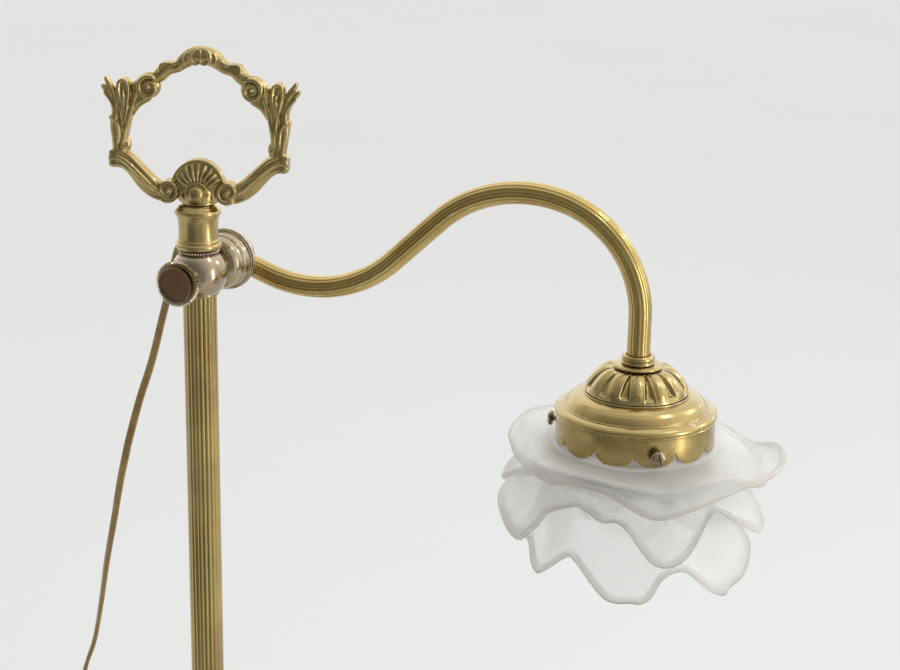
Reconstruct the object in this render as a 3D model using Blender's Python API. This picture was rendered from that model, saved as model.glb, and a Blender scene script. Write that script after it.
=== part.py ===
"""Swing arm desk lamp with a sliding ball joint, a swan-neck arm and a rose glass shade.

Frame: metres, +Z up, origin at the centre of the base's underside, on the column's axis.
The arm reaches along +X, the clamp knob points along -Y and the tilt pivot along +Y.
"""
import math

import bmesh
import bpy
from mathutils import Vector

MM = 0.001
GAP = 0.3 * MM                      # clearance left between touching pieces

# ---- driving dimensions -------------------------------------------------------------------
BALL_Z = 455 * MM                   # height of the ball slider's centre, at its top stop
COLUMN_R = 9.45 * MM                # 3/4 inch column tube
COLUMN_BORE_R = 8.0 * MM
ARM_R = 6.35 * MM                   # 1/2 inch arm tube
ARM_BORE_R = 5.35 * MM
BALL_R = 15.75 * MM
ARM_Y = 41.5 * MM                   # plane the arm is bent in
ROD_R = 4.0 * MM                    # tie rod through the column

# the arm, as a bender would set it out: straight runs and bends, headings in degrees
ARM_ROOT_HEADING = -20.0
ARM_ROOT_RUN = 24.5 * MM
ARM_DIP_R = 75.5 * MM
ARM_RISE_HEADING = 43.5
ARM_RISE_RUN = 37.2 * MM
ARM_CREST_R = 75.0 * MM
ARM_BREAK_HEADING = -15.0
ARM_DROP_R = 62.0 * MM
ARM_END_Z = -27.0 * MM              # below the ball's centre
ARM_TUBE_START = 10.5 * MM          # distance of the tube's end from the pivot axis

GLAND_RISE = 12.0                   # the cord gland points back, and this many degrees up
GLAND_MOUTH = 23.0 * MM             # distance of the gland's mouth from the pivot axis

SKIRT_CUSP_Z = -72.2 * MM
SKIRT_LOBE_Z = -79.1 * MM
SCREW_Z = -72.7 * MM
SCREW_AZIMUTHS = (-60.0, 60.0, 180.0)

HANDLE_TURN = 14.0                  # the handle is screwed on a little round from the arm
HANDLE_THICK = 8.4 * MM

CORD_R = 2.2 * MM
SWITCH_AT = (-118 * MM, 124 * MM)
SWITCH_HEADING = 50.0
SWITCH_LONG = 58 * MM
COIL_AT = (-52 * MM, 163 * MM)
COIL_INNER_R = 20 * MM
COIL_OUTER_R = 34 * MM
COIL_HIGH = 14 * MM
PLUG_AT = (12 * MM, 142 * MM)
PLUG_HEADING = -62.0

MATERIALS = {
    # name: (colour, metallic, roughness)
    "antique_brass": ((0.42, 0.32, 0.12), 1.0, 0.32),
    "bronze": ((0.23, 0.16, 0.10), 1.0, 0.28),
    "steel": ((0.55, 0.55, 0.56), 1.0, 0.35),
    "iron": ((0.10, 0.10, 0.10), 0.8, 0.7),
    "felt": ((0.05, 0.09, 0.06), 0.0, 0.95),
    "fibre": ((0.12, 0.07, 0.05), 0.0, 0.8),
    "frosted_glass": ((0.86, 0.86, 0.84), 0.0, 0.45),
    "bulb_glass": ((0.93, 0.93, 0.90), 0.0, 0.3),
    "porcelain": ((0.85, 0.84, 0.80), 0.0, 0.3),
    "gold_cord": ((0.38, 0.26, 0.10), 0.0, 0.45),
    "brown_plastic": ((0.10, 0.05, 0.03), 0.0, 0.4),
}


# ---- tools --------------------------------------------------------------------------------
def clear_scene():
    for obj in list(bpy.data.objects):
        bpy.data.objects.remove(obj, do_unlink=True)


def material(name):
    if name in bpy.data.materials:
        return bpy.data.materials[name]
    colour, metallic, roughness = MATERIALS[name]
    mat = bpy.data.materials.new(name)
    mat.use_nodes = True
    shader = mat.node_tree.nodes["Principled BSDF"]
    shader.inputs["Base Color"].default_value = (*colour, 1.0)
    shader.inputs["Metallic"].default_value = metallic
    shader.inputs["Roughness"].default_value = roughness
    return mat


def add_object(name, bm, mat, parent=None, location=(0, 0, 0), rotation=(0, 0, 0)):
    """Turn a bmesh into a named, smooth-shaded object."""
    bmesh.ops.recalc_face_normals(bm, faces=bm.faces)
    mesh = bpy.data.meshes.new(name)
    bm.to_mesh(mesh)
    bm.free()
    mesh.materials.append(material(mat))
    mesh.shade_smooth()
    mesh.set_sharp_from_angle(angle=math.radians(32))
    obj = bpy.data.objects.new(name, mesh)
    bpy.context.collection.objects.link(obj)
    obj.parent = parent
    obj.location = location
    obj.rotation_euler = rotation
    return obj


def add_empty(name, location, parent=None):
    empty = bpy.data.objects.new(name, None)
    bpy.context.collection.objects.link(empty)
    empty.parent = parent
    empty.location = location
    return empty


def on_axis(axis, radius, height, angle):
    c, s = radius * math.cos(angle), radius * math.sin(angle)
    return {"Z": (c, s, height), "Y": (s, height, c), "X": (height, c, s)}[axis]


def lathe(profile, segments=48, axis="Z", shape=None):
    """Turn a closed profile of (radius, height) in millimetres about an axis.

    A profile whose ends lie on the axis closes there; any other is a ring. shape(r, h, angle)
    may move a point, for instance to scallop an edge.
    """
    bm = bmesh.new()
    points = [(r * MM, h * MM) for r, h in profile]
    on_pole = points[0][0] == 0 and points[-1][0] == 0
    rows = []
    for r, h in points:
        if r == 0:
            rows.append([bm.verts.new(on_axis(axis, 0, h, 0))])
            continue
        row = []
        for i in range(segments):
            angle = 2 * math.pi * i / segments
            rr, hh = shape(r, h, angle) if shape else (r, h)
            row.append(bm.verts.new(on_axis(axis, rr, hh, angle)))
        rows.append(row)
    pairs = list(zip(rows, rows[1:]))
    if not on_pole:
        pairs.append((rows[-1], rows[0]))
    for a, b in pairs:
        for i in range(segments):
            j = (i + 1) % segments
            corners = [a[i % len(a)], a[j % len(a)], b[j % len(b)], b[i % len(b)]]
            unique = []
            for v in corners:
                if v not in unique:
                    unique.append(v)
            if len(unique) > 2:
                bm.faces.new(unique)
    return bm


def disc(r, low, high, segments=48, axis="Z"):
    return lathe([(0, high), (r, high), (r, low), (0, low)], segments, axis)


def ring(inner, outer, low, high, segments=48, axis="Z"):
    return lathe([(inner, low), (outer, low), (outer, high), (inner, high)], segments, axis)


def hex_nut(hole_r, corner_r, low, high, axis="Z"):
    """A hexagonal nut with a round hole: 24 sides, with the outer ones pulled to a hexagon."""
    def to_hexagon(r, h, angle):
        if r < corner_r * MM * 0.99:
            return r, h
        flat = corner_r * MM * math.cos(math.pi / 6)
        within = (angle + math.pi / 6) % (math.pi / 3) - math.pi / 6
        return flat / math.cos(within), h
    return lathe([(hole_r, low), (corner_r, low), (corner_r, high), (hole_r, high)],
                 24, axis, to_hexagon)


def box(size, centre=(0, 0, 0)):
    bm = bmesh.new()
    bmesh.ops.create_cube(bm, size=1.0)
    bmesh.ops.scale(bm, vec=Vector(size), verts=bm.verts)
    bmesh.ops.translate(bm, vec=Vector(centre), verts=bm.verts)
    return bm


def cut(target, name, bm, parent=None, location=(0, 0, 0), rotation=(0, 0, 0)):
    """Take a tool's shape out of the target."""
    tool = add_object(name, bm, "steel", parent, location, rotation)
    tool.hide_render = True
    tool.display_type = "WIRE"
    mod = target.modifiers.new(name, "BOOLEAN")
    mod.operation = "DIFFERENCE"
    mod.object = tool


def sweep(path, outer_r, inner_r, sides=10):
    """A hollow tube along a path that lies in an X-Z plane."""
    bm = bmesh.new()
    across = Vector((0, 1, 0))
    rows = []
    for i, point in enumerate(path):
        ahead = path[min(i + 1, len(path) - 1)] - path[max(i - 1, 0)]
        normal = across.cross(ahead.normalized())
        row = []
        for radius in (outer_r, inner_r):
            for k in range(sides):
                a = 2 * math.pi * k / sides
                offset = normal * (radius * math.cos(a)) + across * (radius * math.sin(a))
                row.append(bm.verts.new(point + offset))
        rows.append(row)
    for a, b in zip(rows, rows[1:]):
        for base in (0, sides):
            for k in range(sides):
                m = (k + 1) % sides
                bm.faces.new([a[base + k], a[base + m], b[base + m], b[base + k]])
    for row in (rows[0], rows[-1]):
        for k in range(sides):
            m = (k + 1) % sides
            bm.faces.new([row[k], row[m], row[sides + m], row[sides + k]])
    return bm


def smooth_route(points, spacing):
    """Evenly spaced points along a Catmull-Rom curve through the route's own points."""
    pts = [Vector(p) for p in points]
    ends = [2 * pts[0] - pts[1]] + pts + [2 * pts[-1] - pts[-2]]
    fine = []
    for a, b, c, d in zip(ends, ends[1:], ends[2:], ends[3:]):
        for i in range(12):
            t = i / 12
            fine.append(0.5 * (2 * b + (c - a) * t + (2 * a - 5 * b + 4 * c - d) * t * t
                               + (3 * b - a - 3 * c + d) * t ** 3))
    fine.append(pts[-1])
    total = sum((q - p).length for p, q in zip(fine, fine[1:]))
    count = max(2, round(total / spacing))
    out, walked, k = [fine[0]], 0.0, 0
    for i in range(1, count):
        want = total * i / count
        while walked + (fine[k + 1] - fine[k]).length < want:
            walked += (fine[k + 1] - fine[k]).length
            k += 1
        step = (fine[k + 1] - fine[k]).length
        out.append(fine[k].lerp(fine[k + 1], (want - walked) / step))
    out.append(fine[-1])
    return out


def cord(name, route, radius=CORD_R, spacing=None, parent=None, mat="gold_cord"):
    """A round tube along a smooth route, with capped ends."""
    points = smooth_route(route, spacing or radius * 5)
    curve = bpy.data.curves.new(name, "CURVE")
    curve.dimensions = "3D"
    curve.bevel_depth = radius
    curve.bevel_resolution = 2
    curve.render_resolution_u = 0
    curve.use_fill_caps = True
    spline = curve.splines.new("POLY")
    spline.points.add(len(points) - 1)
    for slot, point in zip(spline.points, points):
        slot.co = (*point, 1.0)
    curve.materials.append(material(mat))
    obj = bpy.data.objects.new(name, curve)
    bpy.context.collection.objects.link(obj)
    obj.parent = parent
    return obj


# ---- the base -----------------------------------------------------------------------------
def build_base(root):
    add_object("base_felt", disc(92, 0, 2.0, 36), "felt", root)
    add_object("base_plate", disc(89.5, 2.3, 3.5, 36), "steel", root)
    weight = [(22, 3.8), (88, 3.8), (88, 10.5), (83, 17.2), (74, 21.4), (51, 26.0), (51, 30.6),
              (30.0, 39.0), (17.6, 55.9), (5, 55.9), (5, 14.0), (22, 14.0)]
    add_object("base_weight", lathe(weight, 28), "iron", root)
    shell = [(92.4, 2.3), (94.6, 2.8), (95.5, 6.5), (94.4, 11.2), (90.4, 13.0), (85.6, 19.2),
             (77, 23.6), (56, 28.3), (53.6, 30.0), (53.6, 33.0), (42, 36.6), (32, 41.3),
             (20.5, 55.6), (20.5, 57.5), (5, 57.5), (5, 56.2), (19.2, 56.2), (31.0, 40.5),
             (52.3, 31.8), (52.3, 28.9), (76.2, 22.4), (84.3, 18.2), (93.8, 9.6), (92.4, 3.6)]
    add_object("base_shell", lathe(shell, 36), "antique_brass", root)
    add_object("base_washer", ring(4.3, 12, 12.3, 13.7, 20), "steel", root)
    add_object("base_nut", hex_nut(4.3, 7.5, 5.6, 12.0), "steel", root)


# ---- the column and its handle ------------------------------------------------------------
def build_column(root):
    foot = [(4.6, 57.8), (19.4, 57.8), (19.8, 60), (15.2, 63.8), (13.0, 69), (14.2, 71.4),
            (14.2, 73.4), (11.4, 76), (9.75, 76), (9.75, 64.0), (4.6, 64.0)]
    add_object("column_foot", lathe(foot, 28), "antique_brass", root)
    top = BALL_Z / MM
    add_object("column_tube", ring(COLUMN_BORE_R / MM, COLUMN_R / MM, 64.3, top + 18.6, 32),
               "antique_brass", root)
    add_object("tie_rod", disc(ROD_R / MM, 5.0, top + 46.0, 16), "steel", root)
    add_object("milled_ring", ring(9.75, 11.7, top + 12.0, top + 14.2, 28), "bronze", root)
    neck = [(9.75, 14.5), (11.8, 14.5), (12.9, 16.4), (11.5, 19.3), (11.05, 25), (11.9, 32.2),
            (13.1, 35.5), (12.0, 38.2), (9.4, 39.5), (4.5, 39.5), (4.5, 19.0), (9.75, 19.0)]
    neck = [(r, h + top) for r, h in neck]
    add_object("neck_collar", lathe(neck, 28), "antique_brass", root)
    build_handle(root)


def handle_outline():
    """Right half of the cast scroll handle, outside and inside, top to bottom, in mm.

    Heights are above the ball's centre. The left half is its mirror.
    """
    outside = [(6, 127.4), (12, 124.8), (17, 120.6), (21.5, 119.4), (24.6, 117.4), (27, 114.4),
               (33, 112.4), (37, 110.0), (42, 111.2), (46, 109.3), (48.4, 106.2), (52.4, 106.6),
               (53.6, 102.6), (50.6, 98.6), (50.0, 90), (49.8, 82), (50.2, 72), (50.4, 66),
               (48.2, 60.0), (39.5, 57.4), (34.2, 52.2), (28.8, 47.2), (23.5, 43.6), (16.5, 42.4),
               (10.4, 43.6), (10.4, 41.6)]
    inside = [(5.5, 116.6), (10.5, 114.4), (17.6, 111.2), (21, 107.6), (22.4, 103), (26, 98.2),
              (33, 94.6), (37, 90.6), (38.6, 84), (39.8, 77), (38.2, 71), (34, 67.8), (30.4, 64.2),
              (27.4, 60.4), (24.6, 56.6), (20.4, 55.6), (16.0, 56.8), (12.4, 60.6), (7.6, 64.4)]
    return outside, inside


def build_handle(root):
    outside, inside = handle_outline()
    outer = [(0, 127.8)] + outside + [(-x, z) for x, z in reversed(outside)]
    inner = [(0, 116.8)] + inside + [(0, 65.4)] + [(-x, z) for x, z in reversed(inside)]
    bm = bmesh.new()
    edges = []
    for loop in (outer, inner):
        verts = [bm.verts.new((x * MM, -HANDLE_THICK / 2, z * MM)) for x, z in loop]
        edges += [bm.edges.new((a, b)) for a, b in zip(verts, verts[1:] + verts[:1])]
    filled = bmesh.ops.triangle_fill(bm, use_beauty=True, edges=edges)
    faces = [f for f in filled["geom"] if isinstance(f, bmesh.types.BMFace)]
    grown = bmesh.ops.extrude_face_region(bm, geom=faces)
    moved = [v for v in grown["geom"] if isinstance(v, bmesh.types.BMVert)]
    bmesh.ops.translate(bm, vec=(0, HANDLE_THICK, 0), verts=moved)
    turn = (0, 0, math.radians(HANDLE_TURN))
    at = (0, 0, BALL_Z)
    handle = add_object("handle", bm, "antique_brass", root, at, turn)
    bevel = handle.modifiers.new("soft_edges", "BEVEL")
    bevel.width = 1.4 * MM
    bevel.segments = 1
    bevel.limit_method = "ANGLE"
    bevel.angle_limit = math.radians(60)
    # the round boss that stands on the neck
    boss = [(0, 56.0), (8.0, 56.0), (10.2, 53.0), (10.6, 46.0), (9.2, 42.0), (9.6, 39.8),
            (0, 39.8)]
    tool = add_object("handle_boss", lathe(boss, 24), "steel", root, at, turn)
    tool.hide_render = True
    tool.display_type = "WIRE"
    join = handle.modifiers.new("boss", "BOOLEAN")
    join.operation = "UNION"
    join.object = tool
    cut(handle, "handle_rod_hole", disc(4.4, 38.0, 47.0, 16), root, at, turn)


# ---- the slider: bush, ball, clamp and the fixed half of the pivot --------------------------
def build_slider(slide, swing):
    bush = [(9.8, -12.4), (12.0, -12.4), (12.0, -11.3), (11.0, -11.3), (11.0, 11.3), (9.8, 11.3)]
    bush = add_object("slider_bush", lathe(bush, 28), "antique_brass", slide)
    cut(bush, "bush_slit", box((1.6 * MM, 6 * MM, 40 * MM), (0, 11 * MM, 0)), slide)

    bore = 11.3
    half = math.sqrt((BALL_R / MM) ** 2 - bore ** 2)
    start = math.atan2(half, bore)
    arc = [start - 2 * start * i / 8 for i in range(9)]
    ball = [(BALL_R / MM * math.cos(a), BALL_R / MM * math.sin(a)) for a in arc]
    ball = add_object("slider_ball", lathe(ball, 28), "bronze", swing)
    cut(ball, "ball_flat", box((20 * MM, 4 * MM, 20 * MM), (0, 17.0 * MM, 0)), swing)
    cut(ball, "ball_stud_hole", disc(2.75, 5, 20, 16, "Y"), swing)
    cut(ball, "ball_screw_hole", disc(3.1, -20, -5, 16, "Y"), swing)

    add_object("clamp_pad", disc(2.7, -12.4, -11.4, 16, "Y"), "fibre", swing)
    cup = [(2.75, 15.3), (4.6, 15.3), (5.2, 16.3), (8.6, 17.2), (12.6, 19.6), (15.4, 23.2),
           (16.6, 28.6), (17.7, 29.4), (17.7, 31.5), (16.0, 31.5), (15.2, 28.6), (14.0, 24.3),
           (8.0, 18.9), (2.75, 18.3)]
    add_object("pivot_cup_inner", lathe(cup, 28, "Y"), "bronze", swing)
    add_object("pivot_stud", disc(2.4, 11.8, 39.6, 16, "Y"), "steel", swing)
    add_object("pivot_friction_ring", ring(12.5, 17.2, 31.8, 32.6, 28, "Y"), "fibre", swing)


def build_knob(knob):
    profile = [(0, -12.7), (2.75, -12.7), (2.75, -16.2), (6.4, -16.4), (6.4, -22.0), (11.4, -23.9),
               (12.1, -24.6), (12.1, -29.0), (11.4, -29.7), (9.6, -29.7), (9.3, -29.1), (0, -29.4)]
    add_object("clamp_knob", lathe(profile, 32, "Y"), "bronze", knob)


# ---- the arm ------------------------------------------------------------------------------
def arm_path(start, step=9 * MM):
    """Centreline of the arm tube in its own plane, from a distance out from the pivot axis."""
    def ahead(heading):
        return Vector((math.cos(math.radians(heading)), 0, math.sin(math.radians(heading))))

    def bend(points, radius, heading, to):
        turn = 1 if to > heading else -1
        centre = points[-1] + ahead(heading + 90 * turn) * radius
        count = max(3, round(math.radians(abs(to - heading)) * radius / (step * 1.1)))
        for i in range(1, count + 1):
            h = heading + (to - heading) * i / count
            points.append(centre - ahead(h + 90 * turn) * radius)

    root = ahead(ARM_ROOT_HEADING)
    points = [root * start, root * ARM_ROOT_RUN]
    bend(points, ARM_DIP_R, ARM_ROOT_HEADING, ARM_RISE_HEADING)
    points.append(points[-1] + ahead(ARM_RISE_HEADING) * ARM_RISE_RUN)
    bend(points, ARM_CREST_R, ARM_RISE_HEADING, ARM_BREAK_HEADING)
    bend(points, ARM_DROP_R, ARM_BREAK_HEADING, -90.0)
    points.append(Vector((points[-1].x, 0, ARM_END_Z)))
    return points


def build_arm(tilt):
    cup = [(0, 51.4), (5, 51.1), (10.0, 49.8), (13.6, 47.2), (15.7, 43.2), (16.6, 38.5),
           (16.7, 35.4), (17.7, 34.8), (17.7, 32.9), (3.1, 32.9), (3.1, 34.1), (15.0, 34.1),
           (15.0, 38.5), (14.0, 42.8), (10.0, 47.8), (0, 49.8)]
    cup = [(r, h - ARM_Y / MM) for r, h in cup]
    cup = add_object("pivot_cup_outer", lathe(cup, 26, "Y"), "bronze", tilt)
    root_turn = (0, math.radians(-ARM_ROOT_HEADING), 0)
    cut(cup, "cup_arm_hole", disc(ARM_R / MM + 0.3, 9.6, 22, 24, "X"), tilt, (0, 0, 0), root_turn)
    gland_turn = (0, math.radians(-GLAND_RISE), math.pi)
    cut(cup, "cup_gland_hole", disc(3.9, 9, 22, 20, "X"), tilt, (0, 0, 0), gland_turn)
    gland = [(2.6, 12.6), (3.6, 12.6), (3.6, 17.5), (5.0, 17.8), (5.0, 19.0), (4.3, 19.6),
             (3.4, 23.0), (2.6, 23.0)]
    add_object("cord_gland", lathe(gland, 20, "X"), "bronze", tilt, (0, 0, 0), gland_turn)
    washer_low = 34.5 - ARM_Y / MM
    add_object("pivot_spring_washer", ring(2.8, 5.4, washer_low, washer_low + 0.6, 24, "Y"),
               "steel", tilt)
    add_object("pivot_nut", hex_nut(2.75, 4.6, washer_low + 0.9, washer_low + 3.8, "Y"),
               "steel", tilt)

    path = arm_path(ARM_TUBE_START)
    add_object("arm_tube", sweep(path, ARM_R, ARM_BORE_R), "antique_brass", tilt)
    head_x = path[-1].x
    gland_axis = Vector((-math.cos(math.radians(GLAND_RISE)), 0,
                         math.sin(math.radians(GLAND_RISE))))
    inside = arm_path(ARM_ROOT_RUN)[1::2]
    flex = [gland_axis * 22.5 * MM, gland_axis * 12 * MM + Vector((0, 0.8 * MM, 0)),
            Vector((0, 1.2 * MM, 1.0 * MM)), inside[0].normalized() * 12 * MM]
    flex += inside + [Vector((head_x, 0, -42 * MM)), Vector((head_x, 0, -60 * MM))]
    cord("arm_flex", flex, 1.9 * MM, 12 * MM, tilt)
    return head_x


# ---- the head: gallery, lampholder, bulb and glass --------------------------------------------
def scallop(r, h, angle):
    """Cut the skirt's lower edge into twelve round lobes, with one lobe along +X."""
    if h > SKIRT_LOBE_Z + 0.5 * MM:
        return r, h
    u = (math.degrees(angle) / 30 + 0.5) % 1 * 2 - 1
    lobe = math.sqrt(max(0.0, 1 - u * u))
    return r, SKIRT_CUSP_Z + (SKIRT_LOBE_Z - SKIRT_CUSP_Z) * lobe


def build_head(head):
    collar = [(5.3, -27.3), (7.4, -27.3), (8.9, -29.4), (8.6, -32.6), (7.4, -34.1), (5.3, -34.1)]
    add_object("head_collar", lathe(collar, 24), "antique_brass", head)
    add_object("head_washer", ring(5.3, 13.4, -36.4, -34.4, 28), "antique_brass", head)
    cap = [(5.3, -36.7), (13.6, -36.7), (17.2, -37.5), (22, -40.2), (26, -44.6), (28.2, -49.9),
           (26.9, -49.9), (21.3, -41.3), (15, -38.3), (5.3, -38.0)]
    add_object("gallery_cap", lathe(cap, 28), "antique_brass", head)
    lobe = SKIRT_LOBE_Z / MM
    gallery = [(5.3, -50.3), (28.6, -50.3), (36.0, -54.2), (38.8, -58.2), (42.4, -59.8),
               (43.9, -62.0), (43.3, -63.8), (43.3, lobe), (42.3, lobe), (42.3, -62.6),
               (38.0, -59.2), (28.4, -51.6), (5.3, -51.4)]
    gallery = add_object("shade_gallery", lathe(gallery, 60, "Z", scallop), "antique_brass", head)
    for i, azimuth in enumerate(SCREW_AZIMUTHS, 1):
        turn = (0, 0, math.radians(azimuth))
        cut(gallery, f"gallery_hole_{i}", disc(1.75, 38, 48, 12, "X"), head, (0, 0, SCREW_Z), turn)

    add_object("gallery_nipple", ring(3.4, 5.0, -59.0, -29.0, 20), "steel", head)
    add_object("gallery_locknut", hex_nut(5.3, 9.0, -54.6, -51.7), "steel", head)
    holder_cap = [(5.3, -54.9), (8.0, -54.9), (15.2, -57.0), (17.0, -60.0), (15.8, -60.0),
                  (14.2, -58.0), (8.0, -56.3), (5.3, -56.3)]
    add_object("lampholder_cap", lathe(holder_cap, 28), "antique_brass", head)
    add_object("lampholder_shell", ring(16.2, 17.0, -90.5, -60.3, 28), "antique_brass", head)
    add_object("lampholder_core", disc(15.8, -65.5, -60.6, 28), "porcelain", head)
    add_object("screw_shell", ring(13.4, 14.1, -90.0, -65.8, 28), "steel", head)
    bulb_cap = [(0, -66.2), (4.5, -66.2), (5.0, -68.0), (11.6, -70.0), (13.0, -72.0), (13.0, -91.5),
                (0, -91.5)]
    add_object("bulb_cap", lathe(bulb_cap, 24), "steel", head)
    centre, radius, neck = -115.0, 24.0, 12.0
    first = math.acos(neck / radius)
    arc = [first - (first + math.pi / 2) * i / 9 for i in range(10)]
    glass = [(0, -91.8), (neck, -91.8)]
    glass += [(radius * math.cos(a), centre + radius * math.sin(a)) for a in arc[:-1]]
    glass += [(0, centre - radius)]
    add_object("bulb_glass", lathe(glass, 24), "bulb_glass", head)
    # the neck held in the skirt, a shoulder, and a bowl that draws in a little to its mouth
    shade = [(38.6, -63.5), (41.0, -63.5), (41.0, -79.0), (44.0, -81.0), (75.0, -81.5),
             (79.0, -84.5), (79.0, -92.0), (63.5, -152.6), (60.5, -152.6), (75.2, -92.0),
             (75.2, -86.2), (44.0, -85.4), (38.6, -83.0)]
    add_object("shade_glass", lathe(shade, 40), "frosted_glass", head)


def build_gallery_screws(head):
    """Thumb screws through the skirt, each with its own turning axis."""
    profile = [(0, 41.3), (1.45, 41.3), (1.45, 47.1), (3.4, 47.2), (4.0, 47.9), (3.6, 49.0),
               (0, 49.7)]
    for i, azimuth in enumerate(SCREW_AZIMUTHS, 1):
        turn = (0, 0, math.radians(azimuth))
        add_object(f"gallery_screw_{i}", lathe(profile, 16, "X"), "bronze", head,
                   (0, 0, SCREW_Z), turn)


# ---- the mains cord -------------------------------------------------------------------------
def rounded_block(size, bevel, centre):
    bm = box(size, centre)
    bmesh.ops.bevel(bm, geom=list(bm.edges), offset=bevel, segments=2, affect="EDGES",
                    profile=0.5)
    return bm


def build_cord(root, slide, swing, tilt):
    """The cord hangs from the gland, lies on the table and ends in a coil and a plug."""
    # route points, from the gland's mouth down, relative to the ball's centre
    gland = Vector((-math.cos(math.radians(GLAND_RISE)), 0, math.sin(math.radians(GLAND_RISE))))
    mouth = gland * (GLAND_MOUTH + GAP) + Vector((0, ARM_Y, 0))
    upper = [tuple(mouth), (-0.0290, 0.0415, 0.0052), (-0.0345, 0.0415, 0.0014),
             (-0.0377, 0.0415, -0.0080), (-0.0415, 0.0415, -0.0240), (-0.0450, 0.0414, -0.0370)]
    middle = [(-0.0451, 0.0414, -0.0373), (-0.0470, 0.0413, -0.0440), (-0.0545, 0.0410, -0.0710),
              (-0.0635, 0.0405, -0.0970), (-0.0715, 0.0400, -0.1240), (-0.0735, 0.0399, -0.1320)]
    lower = [(-0.0736, 0.0399, -0.1323), (-0.0780, 0.0395, -0.1510), (-0.0835, 0.0395, -0.1780),
             (-0.0895, 0.0395, -0.2060), (-0.0945, 0.0395, -0.2340), (-0.1005, 0.0395, -0.2620),
             (-0.1085, 0.0395, -0.2850), (-0.1175, 0.0405, -0.3250), (-0.1265, 0.0430, -0.3700),
             (-0.1350, 0.0470, -0.4100), (-0.1425, 0.0520, -0.4350), (-0.1478, 0.0595, -0.4485),
             (-0.1500, 0.0690, -0.4521), (-0.1503, 0.0755, -0.4525)]

    def world(points):
        return [Vector(p) + Vector((0, 0, BALL_Z)) for p in points]

    def local(points, empty_at):
        return [p - Vector(empty_at) for p in world(points)]

    cord("cord_upper", local(upper, (0, ARM_Y, BALL_Z)), parent=tilt)
    cord("cord_middle", local(middle, (0, 0, BALL_Z)), parent=swing)
    cord("cord_lower", local(lower, (0, 0, BALL_Z)), parent=slide)

    table = CORD_R + 0.3 * MM
    h = math.radians(SWITCH_HEADING)
    along = Vector((math.cos(h), math.sin(h), 0))
    switch = Vector((*SWITCH_AT, 0))
    end_in = switch - along * (SWITCH_LONG / 2 + 1 * MM)
    end_out = switch + along * (SWITCH_LONG / 2 + 1 * MM)
    entry = Vector((0, 0, 5.0 * MM))
    cord("cord_floor", [(-0.1503, 0.0763, table), (-0.1503, 0.0825, table),
                        tuple(end_in - along * 8 * MM + Vector((0, 0, table + 0.6 * MM))),
                        tuple(end_in + entry)], parent=root)
    coil = Vector((*COIL_AT, 0))
    # the cord comes to the coil, and leaves it, along the coil's tangent
    beside = COIL_OUTER_R + CORD_R + 1.2 * MM
    meets = coil + Vector((math.cos(math.radians(150)), math.sin(math.radians(150)), 0)) * beside
    cord("cord_link", [tuple(end_out + entry),
                       tuple(end_out + along * 9 * MM + Vector((0, 0, table + 1.0 * MM))),
                       tuple(meets + Vector((0, 0, table)))], parent=root)
    coil_profile = [(COIL_INNER_R / MM, 2.2), (COIL_INNER_R / MM + 2, 0.2),
                    (COIL_OUTER_R / MM - 2, 0.2), (COIL_OUTER_R / MM, 2.2),
                    (COIL_OUTER_R / MM, COIL_HIGH / MM - 2), (COIL_OUTER_R / MM - 2, COIL_HIGH / MM),
                    (COIL_INNER_R / MM + 2, COIL_HIGH / MM), (COIL_INNER_R / MM, COIL_HIGH / MM - 2)]
    add_object("cord_coil", lathe(coil_profile, 28), "gold_cord", root, tuple(coil))
    # a twist tie round the coil's bundle: a square loop standing across the ring
    tie_wide = COIL_OUTER_R - COIL_INNER_R + 1.2 * MM
    tie_high = COIL_HIGH + 1.6 * MM
    middle_r = (COIL_OUTER_R + COIL_INNER_R) / 2
    tie_angle = math.radians(100)
    tie_at = coil + Vector((math.cos(tie_angle), math.sin(tie_angle), 0)) * middle_r
    tie_at.z = tie_high / 2 + 0.2 * MM
    tie = add_object("cord_tie", box((tie_wide + 1.6 * MM, 4 * MM, tie_high)), "brown_plastic",
                     root, tuple(tie_at), (0, 0, tie_angle))
    # the tie closes over the top and both sides; the coil's own weight rests on the table
    cut(tie, "tie_opening", box((tie_wide, 6 * MM, tie_high), (0, 0, -1.0 * MM)), root,
        tuple(tie_at), (0, 0, tie_angle))

    build_switch(root, switch, h)
    build_plug(root, coil, table)


def build_switch(root, switch, heading):
    body = rounded_block((SWITCH_LONG, 24 * MM, 15 * MM), 3 * MM, (0, 0, 7.7 * MM))
    body = add_object("cord_switch", body, "brown_plastic", root, tuple(switch), (0, 0, heading))
    cut(body, "switch_well", box((17 * MM, 11 * MM, 12 * MM), (0, 0, 13.0 * MM)), root,
        tuple(switch), (0, 0, heading))
    rocker = add_empty("switch_axis", (switch.x, switch.y, 13.5 * MM), root)
    bm = bmesh.new()
    outline = [(-7.2, 1.6), (-4.5, 2.6), (0, 1.8), (4.5, 2.6), (7.2, 1.6), (6.4, -2.6), (0, -4.4),
               (-6.4, -2.6)]
    low = [bm.verts.new((x * MM, -4.6 * MM, z * MM)) for x, z in outline]
    high = [bm.verts.new((x * MM, 4.6 * MM, z * MM)) for x, z in outline]
    bm.faces.new(low)
    bm.faces.new(high)
    for i in range(len(outline)):
        j = (i + 1) % len(outline)
        bm.faces.new([low[i], low[j], high[j], high[i]])
    add_object("switch_rocker", bm, "brown_plastic", rocker, (0, 0, 0), (0, 0, heading))


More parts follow.
